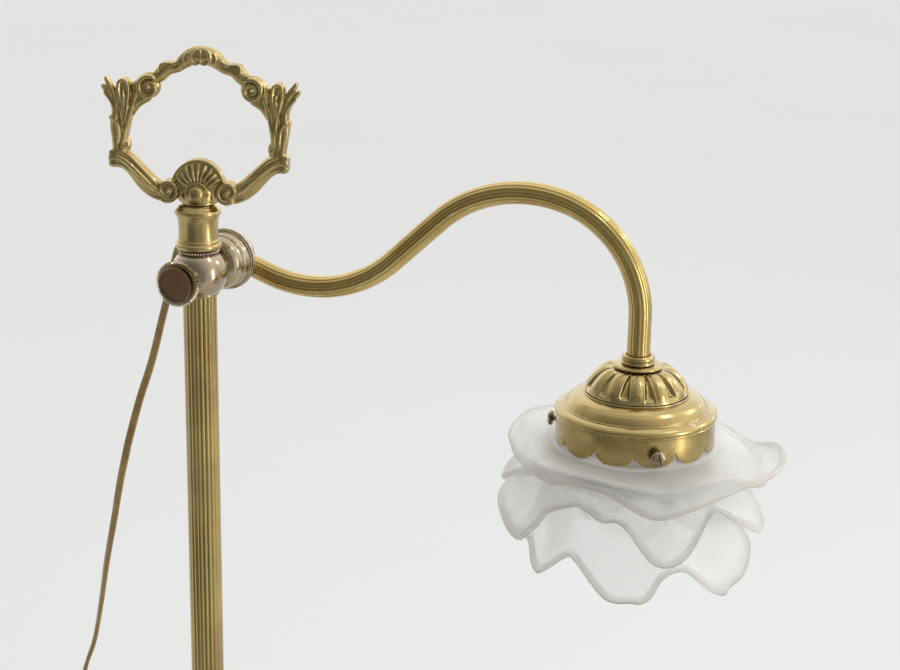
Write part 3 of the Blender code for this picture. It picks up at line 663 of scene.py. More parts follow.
# ---- the base ---------------------------------------------------------------------------
def build_base():
    felt = fillet([(0, 2.1), (92, 2.1), (92, 0), (0, 0)], 0.5)
    piece("base_pad", *lathe(felt, 128), "felt", "stand", "felt", ["base_felt"])
    plate = fillet([(0, 3.5), (89.5, 3.5), (89.5, 2.3), (0, 2.3)], 0.3)
    piece("base_disc", *lathe(plate, 96), "steel", "stand", "steel", ["base_plate"])
    weight = fillet([(22, 3.8), (88, 3.8), (88, 10.5), (83, 17.2), (74, 21.4), (51, 26),
                     (51, 30.6), (30, 39), (17.6, 55.9), (5, 55.9), (5, 14), (22, 14)],
                    1.5, 3, True)
    piece("ballast", *lathe(weight, 96), "iron", "stand", "iron", ["base_weight"])

    shell = fillet([(92.4, 2.3), (94.6, 2.8)], 0.5)
    shell += fillet([(94.6, 2.8), (95.5, 4.2), (95.5, 8.8), (94.2, 11.4), (91.8, 12.4), (91, 13.6),
                     (89.4, 16.2), (85.6, 19.2), (80, 22.1), (77, 23.2), (74.6, 25.2), (71, 25.8),
                     (66, 26.6), (60, 27.7), (56.6, 28.6), (55.4, 30.4), (53.6, 31.6), (53, 33.2),
                     (47, 35), (42, 36.9), (36.5, 39.4), (32, 42.6), (28, 46.6), (24.2, 51.4),
                     (21.8, 54.4), (21.4, 56.6), (20, 57.5), (5, 57.5)], 0.8, 3)[1:]
    shell += [(5, 56.2), (19.2, 56.2), (31, 40.5), (52.3, 31.6), (52.3, 28.9), (76.2, 22.4),
              (84.3, 18.2), (93.8, 9.6), (92.4, 3.6)]

    def reeds(r, h, angle):
        """A gadrooned band round the dome's shoulder."""
        share = np.clip((r - 57) / 3, 0, 1) * np.clip((74 - r) / 3, 0, 1) * (h > 24.5)
        bulge = np.abs(np.sin(angle * 18)) ** 0.6
        return r, h + share * (bulge - 0.55) * 1.5
    piece("base_dome", *lathe(shell, 432, shape=reeds), "spun_brass", "stand", "antique_brass",
          ["base_shell"])
    for node in ("base_washer", "base_nut", "tie_rod"):
        carry(node, "steel")


def carry(node, mat):
    """A CAD node that keeps its shape and gets a worked material."""
    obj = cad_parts[node]
    obj.data.materials.clear()
    obj.data.materials.append(M[mat])


# ---- the column, neck and handle --------------------------------------------------------
def build_column():
    foot = fillet([(4.6, 57.8), (19.2, 57.8), (19.9, 58.9), (19.6, 60.4), (17.2, 61.6),
                   (15.4, 63.6), (14, 66.4), (13.1, 69.2), (13.3, 70.4), (14.3, 71.2),
                   (14.5, 72.4), (14.2, 73.6), (12.8, 74.2), (11.6, 75.6), (10.9, 76),
                   (BORE_R, 76), (BORE_R, 64), (4.6, 64)], 0.5, 3, True)
    piece("foot_collar", *lathe(foot, 96), "brass", "stand", "antique_brass", ["column_foot"])
    low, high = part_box("column_tube")
    path = [(0, 0, z) for z in np.linspace(low.z / MM, high.z / MM, 25)]
    piece("column_reeded", *swept(path, reeded(COLUMN_R, 20, 0.48), (1, 0, 0)), "tube_brass",
          "stand", "antique_brass", ["column_tube"])

    def beads(r, h, angle):
        lump = np.abs(np.cos(angle * 22)) ** 0.7
        return np.where(r > 10.6, r - 0.75 + 0.75 * lump, r), h
    ring = [(BORE_R, 12), (10.6, 12)]
    ring += arc((10.3, 13.1), (1.4, 1.1), -1.35, 1.35, 9)
    ring += [(10.6, 14.2), (BORE_R, 14.2)]
    piece("bead_ring", *lathe(ring, 352, shape=beads), "bronze", "stand", "dark_bronze",
          ["milled_ring"], BALL)

    neck = [(BORE_R, 14.6), (11.6, 14.6)]
    neck += arc((11.4, 16.4), (1.5, 1.8), -1.3, 1.15, 12)
    neck += fillet([(11.8, 18.3), (12, 18.7), (11.8, 19.6), (11.35, 20), (11.15, 21.5),
                    (11.02, 25), (11.15, 29), (11.45, 31.6), (11.9, 32.6), (12, 33.2)], 0.5)
    neck += arc((11.5, 35.5), (1.6, 2.0), -1.05, 1.25, 12)
    neck += [(11.2, 38.2), (10.6, 39), (9.6, 39.5), (4.6, 39.5), (4.6, 19), (BORE_R, 19)]
    piece("neck_turned", *lathe(neck, 128), "brass", "stand", "antique_brass", ["neck_collar"],
          BALL)
    build_handle()


def volute(centre, first, radii, rolls, side, disc, depth):
    """A scroll end in relief: a disc, a spiral roll on each face, and an eye in the middle."""
    cx, cz = centre
    parts = [blob((side * cx, 0, cz), (disc, depth, disc), 32)]
    line = smooth_line([(math.radians(first - 45 * i), r, 0) for i, r in enumerate(radii)], 0.28)
    for y in (-1, 1):
        points = [(side * (cx + r * math.cos(a)), cz + r * math.sin(a), y * (depth - 0.5))
                  for a, r, _ in line]
        parts.append(rope(points, rolls, 1.25))
        parts.append(blob((side * cx, y * (depth - 0.2), cz), (1.5, 1.6, 1.5), 16))
    return parts


def build_handle():
    """The cast scroll handle, drawn from its right half and mirrored, the same front and back."""
    parts = []

    def bar(points, radii, flat=1.0, y=0.0):
        for side in (1, -1):
            for face in ((1, -1) if y else (1,)):
                parts.append(rope([(side * x, z, y * face) for x, z in points], radii, flat))

    # top: a clasp of two back-to-back scrolls, then the waved bar with its knuckle
    bar([(-0.6, 122.5), (3.4, 122.3), (6.6, 121), (9.6, 118.9), (12.6, 116.4), (15.4, 115.3)],
        [5.3, 5.3, 5, 4.4, 3.6, 3.5], 0.92)
    bar([(15.4, 115.3), (18.4, 115), (20.6, 113.6), (22.4, 111.4), (24.6, 109.6), (27.4, 108.6)],
        [3.5, 4.3, 4.4, 4.1, 3.7, 3.4], 0.95)
    bar([(1.6, 126.6), (4.4, 125), (5.4, 122), (4.3, 118.9), (1.6, 118), (0.2, 119.4)],
        [0.5, 0.9, 1, 0.95, 0.8, 0.5], 1.1, 4.2)
    bar([(7.6, 124.2), (8.6, 121.2), (7.6, 118)], [0.4, 0.7, 0.4], 1.0, 3.9)
    bar([(0, 126.2), (0, 122.4), (0, 118.6)], [0.45, 0.6, 0.45], 1.0, 4.5)
    bar([(8.4, 122.6), (11.6, 119.4), (15, 117.6), (18, 117.8)], [0.5, 0.8, 0.9, 0.6], 1.0, 2.7)
    bar([(19.2, 118), (21.6, 116.8), (22, 114.2), (21, 112), (22.4, 109.8)],
        [0.8, 1.3, 1.3, 1, 0.5], 1.0, 2.9)
    bar([(22.6, 112.6), (26, 111.2), (29.6, 110.8), (33.2, 109.2), (35.6, 106.4)],
        [1.5, 1.7, 1.8, 1.7, 1.3], 1.5, 0.8)
    # upper volutes
    radii = [6.1, 5.8, 5.5, 5.3, 5.1, 4.7, 4.3, 3.7, 3.1, 2.6, 2.2]
    rolls = [1.1, 1.5, 1.6, 1.5, 1.35, 1.2, 0.9]
    for side in (1, -1):
        parts.extend(volute((28.7, 104.5), 118, radii, rolls, side, 6.6, 3.9))
        # the solid ground between volute, leaf and stile
        for x, z, wide, tall in ((35.4, 104.2, 4.2, 3.4), (36.6, 99.0, 4.4, 4.6),
                                 (38.6, 93.0, 3.4, 5.6), (45.6, 97.0, 2.8, 8.0),
                                 (45.4, 84.0, 2.6, 11.0), (41.8, 72.0, 3.6, 5.0)):
            parts.append(blob((side * x, 0, z), (wide, 2.9, tall), 20))
    # the web from volute to leaf
    bar([(30, 98.6), (33.4, 97), (36.4, 94.4), (39, 90)], [3, 3.3, 3.2, 2.6], 0.95)
    bar([(34.6, 104.6), (37, 103.4), (39.4, 102.4)], [2.6, 2.2, 2.2], 0.8)
    bar([(33, 99.4), (36, 97.6), (38.6, 94)], [1.8, 1.8, 1.8], 0.8)
    # acanthus stile: core, lobe and flutes, inner leaf, forked outer leaf and a small side leaf
    bar([(44, 68.5), (43.6, 76), (43.2, 84), (42.9, 92), (42.9, 99), (43, 105.2)],
        [4.1, 3.7, 3.5, 3.5, 3.8, 4], 0.92)
    bar([(42.6, 78), (41.4, 87), (40.4, 96), (39.9, 102.4), (40.8, 107), (42.7, 108.1)],
        [0.4, 0.7, 1, 1.15, 1.1, 0.9], 1.0, 3.3)
    bar([(43, 80), (43.4, 88), (44.4, 96), (45.6, 102.4), (45.1, 107), (43.2, 108.1)],
        [0.4, 0.7, 1, 1.15, 1.1, 0.9], 1.0, 3.3)
    bar([(42.8, 84), (42.5, 94), (42.4, 101.5)], [0.4, 0.8, 0.7], 1.0, 3.9)
    bar([(41.6, 74), (40.6, 82), (39.2, 89), (37.6, 94.6), (36.2, 99), (35.8, 101.4)],
        [1.2, 1.4, 1.5, 1.6, 1.5, 1.1], 1.3, 1.8)
    bar([(42.4, 73), (41.6, 80), (40.6, 86)], [0.4, 0.8, 0.4], 1.0, 3.4)
    bar([(46.2, 69.5), (47.2, 78), (47.4, 86), (47.2, 92), (47.8, 98), (50, 103.4), (52.8, 108.4)],
        [2.4, 2.4, 2.4, 2.3, 2.5, 2.2, 1.3], 1.25, 0.9)
    bar([(47.2, 90), (48.6, 96), (51.6, 100.4), (54.6, 104.2)], [1.8, 2.3, 2, 1.2], 1.25, 0.9)
    bar([(45.8, 90), (47.4, 97.2), (49.8, 101.8), (52.4, 105.6)], [0.4, 0.8, 0.8, 0.4], 1.0, 3.1)
    bar([(46.6, 88), (48.6, 94.6), (51.4, 98.4), (53.6, 100.8)], [0.4, 0.8, 0.8, 0.4], 1.0, 3.1)
    bar([(45.6, 72), (47.2, 76), (48.2, 81), (48.6, 84.6), (50, 87.2)],
        [1.6, 1.8, 1.9, 1.7, 1], 1.1, 1.6)
    bar([(45.2, 73.6), (44.9, 78), (45.4, 82.6), (46.8, 85.8), (49, 86.8)],
        [0.6, 0.9, 0.9, 0.8, 0.5], 1.0, 3.6)
    # bound knee and the fluted arm down to the lower volute
    bar([(46.6, 67), (44.4, 67.1), (40, 65.2), (35.4, 61), (30.6, 56.4), (26.4, 52.6), (22, 49.6)],
        [3, 3.1, 3.2, 3.2, 3.1, 2.9, 2.6], 1.25)
    bar([(46.8, 63.4), (44.2, 63.2), (40.2, 61), (35.8, 56.8), (31, 52), (26.6, 48.6), (22, 46.4)],
        [2.7, 2.8, 3, 3, 3, 2.9, 2.6], 1.45)
    bar([(46.4, 60.8), (43.2, 60.4), (39.4, 58.2), (35.2, 54), (30.6, 49.6), (26, 46.2), (21, 44)],
        [2.2, 2.4, 2.7, 2.9, 3.1, 3, 2.6], 1.2)
    for side in (1, -1):
        parts.append(soft_box((6.6, 8.6, 10.6), 2.4, (side * 47.4, 0, 64.2), 4))
    bar([(49.6, 68.1), (46.8, 68.4), (43.4, 67.9), (38.8, 65.6), (33.4, 60.6), (28.2, 55.2),
         (23.6, 51)], [0.8, 1, 1.1, 1.1, 1, 0.9, 0.6], 1.0, 3.2)
    bar([(49.8, 64.6), (47.2, 64.9), (43.6, 64.6), (38.4, 61.2), (32.4, 55.6), (26.4, 49.8),
         (21.4, 46.4)], [0.9, 1.1, 1.2, 1.2, 1.1, 1, 0.8], 1.0, 3.9)
    bar([(48.6, 61), (46, 61.4), (42.4, 60.6), (38.2, 57.2), (33.4, 52.4)],
        [0.8, 1, 1, 0.9, 0.5], 1.0, 2.9)
    bar([(37.6, 54.4), (33, 49.4), (28, 45.2), (22.6, 42.6), (17.6, 41.6)],
        [0.9, 1.5, 1.6, 1.6, 1.4], 1.2, 1.2)
    radii = [5.6, 5.5, 5.2, 5.0, 4.9, 4.8, 4.5, 3.9, 3.1, 2.4, 1.8]
    rolls = [1.5, 1.5, 1.4, 1.3, 1.25, 1.2, 1.1]
    for side in (1, -1):
        parts.extend(volute((16.7, 47.0), -62, radii, rolls, side, 6.1, 4.0))

    def round_shell(wide, tall, degrees, y, height=46.8):
        a = math.radians(degrees)
        return wide * math.cos(a), height + tall * math.sin(a), y

    # scallop shell over a round bead, on the boss that meets the neck
    parts.append(blob((0, 0, 50.8), (15.6, 4.6, 14.0), 40))
    parts.append(blob((0, 0, 57.4), (8.6, 4.4, 7.3), 36))
    for y in (-1, 1):
        for k in range(9):
            a = 32 + 14.5 * k
            reach = 15.6 if 1 < k < 7 else 14.0
            parts.append(rope([round_shell(6.6, 6.6, a, y * 4.7), round_shell(11, 11, a, y * 4.5),
                               round_shell(reach, reach, a, y * 3.0)], [0.45, 0.85, 0.8]))
        rim = [round_shell(15.0, 17.3, a, y * 2.0) for a in range(10, 175, 12)]
        parts.append(rope(rim, [1, 1.25, 1.25, 1.25, 1], 1.1))
        parts.append(blob((0, y * 6.6, 46.0), (4.9, 3.9, 5.2), 28))
        parts.append(rope([round_shell(6.1, 6.3, a, y * 6.2, 46.2) for a in range(-10, 200, 14)],
                          [0.5, 0.8, 0.9, 0.8, 0.5]))
    v, f = lathe([(0, 51), (6, 50.4), (8.6, 48), (9.4, 45), (9.4, 42.6), (9.2, 41), (9.4, 39.8),
                  (0, 39.8)], 48)
    parts.append((v * (1, 0.82, 1), f))
    # the casting stands a little out of square, leaning toward the head as it rises
    parts = [(v + np.outer(0.6 + 0.042 * (v[:, 2] - 46), (1, 0, 0)), f) for v, f in parts]
    cast("handle_cast", parts, 0.38, 5, "brass", "stand", ["handle"], BALL,
         HANDLE_TURN)


# ---- slider, knob and swivel ------------------------------------------------------------
def build_slider():
    bush = fillet([(9.8, -12.2), (10.9, -12.2), (11.1, -11.6), (11, -11), (11, 11.3), (9.8, 11.3)],
                  0.3, 3, True)
    piece("bush_sleeve", *lathe(bush, 96), "bronze", "slider", "antique_brass", ["slider_bush"],
          BALL)
    reach = math.atan2(math.sqrt(BALL_R ** 2 - 11.3 ** 2), 11.3)     # where the bore cuts it
    ball = arc((0, 0), (BALL_R, BALL_R), reach, -reach, 30)
    ball = [(11.3, 10.2), (11.5, 10.75)] + ball[1:-1] + [(11.5, -10.75), (11.3, -10.2)]
    piece("ball_polished", *lathe(ball, 128), "bronze", "ball", "dark_bronze", ["slider_ball"],
          BALL)
    carry("clamp_pad", "fibre")

    cup = fillet([(2.75, 15.3), (4.6, 15.3), (6, 15.5), (8.4, 16), (10.8, 17), (12.8, 18.4),
                  (14.4, 20.4), (15.3, 22.6), (15.6, 24.2), (15.5, 24.6), (16.05, 24.8),
                  (16.2, 25.3), (15.9, 25.7), (15.3, 25.9), (15.2, 26.3), (15.7, 26.8), (16.1, 28),
                  (16.3, 29.6), (16.5, 30.3), (17.3, 30.6), (17.75, 31), (17.5, 31.5),
                  (14.6, 31.5), (14.2, 28.6), (13.2, 24.3), (8, 18.9), (2.75, 18.3)], 0.4, 3, True)
    piece("cup_near", *lathe(cup, 128, "Y"), "bronze", "ball", "dark_bronze",
          ["pivot_cup_inner"], BALL)
    carry("pivot_stud", "steel")
    ring = fillet([(12.5, 31.8), (17.1, 31.8), (17.1, 32.6), (12.5, 32.6)], 0.2, 3, True)
    piece("friction_washer", *lathe(ring, 96, "Y"), "fibre", "ball", "fibre",
          ["pivot_friction_ring"], BALL)


def build_knob():
    """Knurled clamp screw: a turned head with forty-five teeth and a recessed dark face."""
    stem = fillet([(0, -12.7), (2.7, -12.7), (2.7, -16), (5.6, -16.2), (6.4, -17), (6.2, -20.4),
                   (5.4, -21.4), (6.6, -22.3), (10.2, -23.4)], 0.5)
    rim = fillet([(10.2, -23.4), (11.8, -23.9), (12.5, -24.8), (12.5, -27.8), (11.6, -29.3),
                  (10.5, -29.9), (10.05, -30), (9.8, -29.7), (9.7, -29)], 0.25)[1:]
    face = [(9.4, -28.9), (7, -28.9), (4, -28.9), (2, -28.9), (0.7, -28.9), (0.4, -28.6),
            (0, -28.5)]

    def knurl(r, h, angle):
        teeth = np.abs(((angle * 45 / (2 * math.pi)) % 1) * 2 - 1)
        cut = (teeth - 0.8) * np.clip((r - 10.1) / 0.5, 0, 1) * np.clip((-h - 23.6) / 0.6, 0, 1)
        return r + 1.7 * cut, h - 1.3 * cut * (h < -28.2)
    head = piece("knob_turned", *lathe(stem + rim + face, 540, "Y", knurl), "bronze", "knob",
                 "dark_bronze", ["clamp_knob"], BALL)
    head.data.materials.append(M["knob_face"])
    face_r, face_y = 9.5, -28
    for poly in head.data.polygons:
        c = poly.center / MM - Vector(BALL)
        if math.hypot(c.x, c.z) < face_r and c.y < face_y:
            poly.material_index = 1


# ---- the arm ----------------------------------------------------------------------------
def arm_path(start, step):
    """Centreline of the bent tube in its plane: runs and bends as a tube bender sets them out."""
    def ahead(heading):
        return np.array((math.cos(math.radians(heading)), 0, math.sin(math.radians(heading))))

    def bend(points, radius, heading, to):
        turn = 1 if to > heading else -1
        centre = points[-1] + ahead(heading + 90 * turn) * radius
        count = round(math.radians(abs(to - heading)) * radius / step)
        for i in range(1, count + 1):
            h = heading + (to - heading) * i / count
            points.append(centre - ahead(h + 90 * turn) * radius)

    def run(points, heading, length):
        count = max(1, round(length / step))
        origin = points[-1]
        points += [origin + ahead(heading) * length * i / count for i in range(1, count + 1)]

    points = [ahead(-20) * start]
    run(points, -20, 24.5 - start)
    bend(points, 75.5, -20, 43.5)
    run(points, 43.5, 37.2)
    bend(points, 75.0, 43.5, -15)
    bend(points, 62.0, -15, -90)
    run(points, -90, points[-1][2] + 31.5)
    return points


def build_arm():
    cup = fillet([(0, 51.2), (5, 50.9), (8, 50.2), (10.4, 48.8), (12.2, 46.6), (13.4, 43.8),
                  (14.2, 40.6), (14.9, 37.4), (15.4, 36.2), (16.6, 35.8), (17.6, 35.3),
                  (17.95, 34.4), (17.9, 33.5), (17.3, 32.9), (3.1, 32.9), (3.1, 34.1),
                  (13.6, 34.1), (13.2, 38), (12.2, 42.4), (9, 47.4), (0, 49.6)], 0.4, 3)
    cup = [(r, h - ARM_Y) for r, h in cup]
    piece("cup_far", *lathe(cup, 128, "Y"), "bronze", "arm", "dark_bronze",
          ["pivot_cup_outer"], PIVOT)
    for node in ("pivot_spring_washer", "pivot_nut"):
        carry(node, "steel")
    carry("arm_flex", "cord")
    gland = fillet([(2.65, 12.6), (3.6, 12.6), (3.6, 17.4), (4.8, 17.7), (5.1, 18.4), (4.7, 19.4),
                    (4, 20), (3.9, 20.6), (4.1, 21.2), (3.7, 22), (3.3, 23), (2.65, 23)],
                   0.35, 3, True)
    verts, faces = lathe(gland, 64, "X")
    verts = verts * (-1, -1, 1)
    piece("gland_bush", turned(verts, 0, -GLAND_RISE), faces, "bronze", "arm", "dark_bronze",
          ["cord_gland"], PIVOT)

    path = arm_path(12.0, 1.6)
    piece("arm_reeded", *swept(path, reeded(ARM_R, 16, 0.23), (0, 1, 0)), "bent_brass", "arm",
          "antique_brass", ["arm_tube"], PIVOT)


# ---- the head ---------------------------------------------------------------------------
def scalloped(r, h, angle):
    """The skirt's lower edge in twelve round lobes, one of them along +X."""
    plain, low, lowest = -64.8, -72.0, -79.1     # end of the plain band, slots, lobes
    u = np.mod(np.degrees(angle) / 30 + 0.5, 1) * 2 - 1
    lobe = np.sqrt(np.clip(1 - u * u, 0, 1))
    edge = low - 7.9 * lobe
    share = np.clip((plain - h) / (plain - lowest), 0, 1)
    return r, np.where(h < plain, plain + (edge - plain) * share, h)


def gadroon(r, h, angle):
    """Twelve swelling lobes on the dome, with deep lipped slots between them."""
    inner, outer = 13.6, 28.6                    # where the lobes begin and end
    t = np.clip((r - inner) / (outer - inner), 0, 1)
    s = np.abs(np.mod(np.degrees(angle) / 30 + 0.5, 1) - 0.5)
    half = 0.045 + 0.150 * t
    inside = np.clip(1 - (s / half) ** 2, 0, 1) ** 0.5
    end = np.clip((0.90 - t) / 0.10, 0, 1)
    end = end * end * (3 - 2 * end)
    swell = np.clip((s - half) / (0.5 - half), 0, 1)
    lip = np.exp(-((s - half - 0.045) / 0.035) ** 2)
    bulge = 1.7 * np.sin(swell * math.pi / 2) ** 0.8 + 0.45 * lip
    grow = np.clip((t - 0.01) / 0.22, 0, 1) * np.clip((0.955 - t) / 0.13, 0, 1)
    grow = grow ** 0.7
    push = grow * bulge - 1.6 * inside * end * np.clip(t / 0.10, 0, 1)
    on_top = h > -50.2 + (29 - r) * 0.25
    push = np.where(on_top & (r > inner), push, 0)
    lean = np.arctan2(r - 8, 20.0)               # outward direction of the dome
    return r + push * np.sin(lean), h + push * np.cos(lean) * 0.9


def build_head():
    collar = fillet([(6.7, -29.4), (7.3, -29.2), (8, -29.3), (8.7, -29.8), (9.15, -30.7),
                     (9.1, -31.6), (8.75, -32.2), (8.8, -33), (9.2, -33.6), (9.1, -34.1),
                     (5.3, -34.1), (5.3, -32), (6.7, -32)], 0.4, 3, True)
    piece("arm_collar", *lathe(collar, 96), "brass", "arm", "antique_brass", ["head_collar"],
          HEAD)
    washer = fillet([(5.3, -34.4), (12.4, -34.5), (13.5, -35.2), (13.6, -35.9), (13, -36.4),
                     (5.3, -36.4)], 0.35, 3, True)
    piece("dished_washer", *lathe(washer, 128), "spun_brass", "arm", "antique_brass",
          ["head_washer"], HEAD)
    dome = smooth_line([(13.5, -36.9), (16.6, -37.7), (19.8, -39.4), (22.7, -41.9), (25.2, -45),
                        (27.1, -48), (28.1, -49.8)], 0.4)
    dome = [(5.3, -36.7), (9, -36.7)] + [tuple(p) for p in dome]
    dome += [(27.8, -50), (25.9, -49.9), (20.3, -43.6), (15, -41), (5.3, -40.4)]
    piece("gadroon_dome", *lathe(dome, 480, shape=gadroon), "brass", "arm", "antique_brass",
          ["gallery_cap"], HEAD, sharp=70)

    top = fillet([(5.3, -50.3), (28.2, -50.3), (29.2, -50.05), (29.5, -50.6), (29.3, -51.1),
                  (30.6, -51.25), (32.7, -51.75), (34.8, -52.8), (36.6, -54.4), (38, -56.2),
                  (38.8, -57.4), (38.9, -57.8), (39.7, -57.8), (40, -58.15), (39.9, -58.45),
                  (41.7, -58.75), (43.3, -59.5), (44.3, -60.6), (44.55, -61.6), (44.3, -62.4),
                  (43.85, -62.7), (43.8, -63), (44.15, -63.3), (44.15, -63.7), (43.8, -64)],
                 0.4, 3)
    skirt = [(43.8, z) for z in np.linspace(-65.6, -78.2, 12)]
    skirt += [(43.7, -78.8), (43.4, -79.1), (42.8, -79.1), (42.5, -78.8)]
    inner = [(42.4, z) for z in np.linspace(-78.2, -65.6, 12)]
    inner += [(42.3, -63), (38, -59.4), (28.4, -51.8), (5.3, -51.4)]
    piece("gallery_spun", *lathe(top + skirt + inner, 360, shape=scalloped), "spun_brass", "arm",
          "antique_brass", ["shade_gallery"], HEAD)

    for node in ("gallery_nipple", "gallery_locknut"):
        carry(node, "steel")
    holder = fillet([(5.3, -54.9), (8, -54.9), (12.4, -55.6), (15.4, -57.2), (16.9, -59),
                     (17, -60), (15.8, -60), (14.2, -58), (8, -56.3), (5.3, -56.3)], 0.3, 3, True)
    piece("holder_cap", *lathe(holder, 96), "brass", "arm", "antique_brass", ["lampholder_cap"],
          HEAD)

    def pressed(r, h, angle):
        ribs = np.where(np.abs(h + 66) < 2.2, 0.18 * np.cos(angle * 36), 0)
        return r + np.where(r > 16.6, ribs, 0), h
    shell = fillet([(16.2, -60.3), (17, -60.3), (17, -63.4), (16.7, -63.8), (17, -64.2), (17, -66),
                    (17, -67.8), (16.7, -68.2), (17, -68.6), (17, -88.6), (17.2, -89.6),
                    (17, -90.5), (16.2, -90.5)], 0.2, 3, True)
    piece("holder_shell", *lathe(shell, 216, shape=pressed), "brass", "arm", "antique_brass",
          ["lampholder_shell"], HEAD)
    carry("lampholder_core", "porcelain")
    carry("screw_shell", "steel")
    threads = [(0, -66.2), (4.5, -66.2), (5, -68), (11.4, -70)]
    threads += [(12.7 + 0.3 * math.cos(2 * math.pi * (z + 72) / 2.6), z)
                for z in np.arange(-71.5, -90.4, -0.43)]
    threads += [(13, -91.5), (0, -91.5)]
    piece("bulb_screw_cap", *lathe(threads, 72), "steel", "arm", "steel", ["bulb_cap"], HEAD)
    bulb = [(0, -91.8), (11.8, -91.8), (12, -92.2), (12.1, -93.4)]
    bulb += arc((0, -115.0), (24.0, 24.0), math.radians(57), -math.pi / 2, 36)
    bulb[-1] = (0, -139.0)
    piece("bulb_frosted", *lathe(bulb, 96), "bulb", "arm", "bulb_glass", ["bulb_glass"], HEAD)


def build_screws():
    """Slotted thumb screws that hold the glass."""
    level = BALL_Z - 72.7
    slot_turns = (8, 50, 95)                     # each was tightened to its own angle
    shaft = [(0, 41.3), (1.4, 41.3), (1.45, 41.5), (1.45, 46.4), (1.9, 46.9)]
    head = fillet([(1.9, 46.9), (3.4, 47.1), (4.15, 47.7), (4.3, 48.3), (4, 49.1), (3.1, 49.8),
                   (1.6, 50.2), (0, 50.3)], 0.35)[1:]
    verts, faces = lathe([tuple(p) for p in shaft + head[:-1]] + [(0, 50.3)], 72, "X")
    front = verts[:, 0] > 48.0
    slot = front & (np.abs(verts[:, 1]) < 0.62)
    for i, azimuth in enumerate((-60, 60, 180), 1):
        v = verts.copy()
        v[:, 0] = np.where(slot, np.minimum(v[:, 0], 48.6), v[:, 0])
        spin = math.radians(slot_turns[i - 1])
        y, z = v[:, 1].copy(), v[:, 2].copy()
        v[:, 1], v[:, 2] = (y * math.cos(spin) - z * math.sin(spin),
                            y * math.sin(spin) + z * math.cos(spin))
        piece(f"slotted_screw_{i}", turned(v, azimuth), faces, "bronze", f"screw_{i}",
              "dark_bronze", [f"gallery_screw_{i}"], (HEAD_X, ARM_Y, level), sharp=30)


# ---- the rose glass ---------------------------------------------------------------------
VIEW = 14.2         # the rose's petals are set out from a direction this far round from +X


def rim_curve(table, count):
    """Radius and height all round from listed (azimuth, radius, height) points."""
    a = np.array([row[0] for row in table], float)
    values = np.array([row[1:] for row in table], float)
    turn = np.concatenate([a - 360, a, a + 360])
    both = np.vstack([values] * 3)
    want = np.arange(count) * 360.0 / count - 180
    k = np.clip(np.searchsorted(turn, want, side="right") - 1, 1, len(turn) - 3)
    t = ((want - turn[k]) / (turn[k + 1] - turn[k]))[:, None]
    p0, p1, p2, p3 = both[k - 1], both[k], both[k + 1], both[k + 2]
    d = (turn[k + 1] - turn[k])[:, None]
    m1 = (p2 - p0) / (turn[k + 1] - turn[k - 1])[:, None] * d
    m2 = (p3 - p1) / (turn[k + 2] - turn[k])[:, None] * d
    h = ((2 * t ** 3 - 3 * t ** 2 + 1) * p1 + (t ** 3 - 2 * t ** 2 + t) * m1
         + (3 * t ** 2 - 2 * t ** 3) * p2 + (t ** 3 - t ** 2) * m2)
    return want, h[:, 0], h[:, 1]


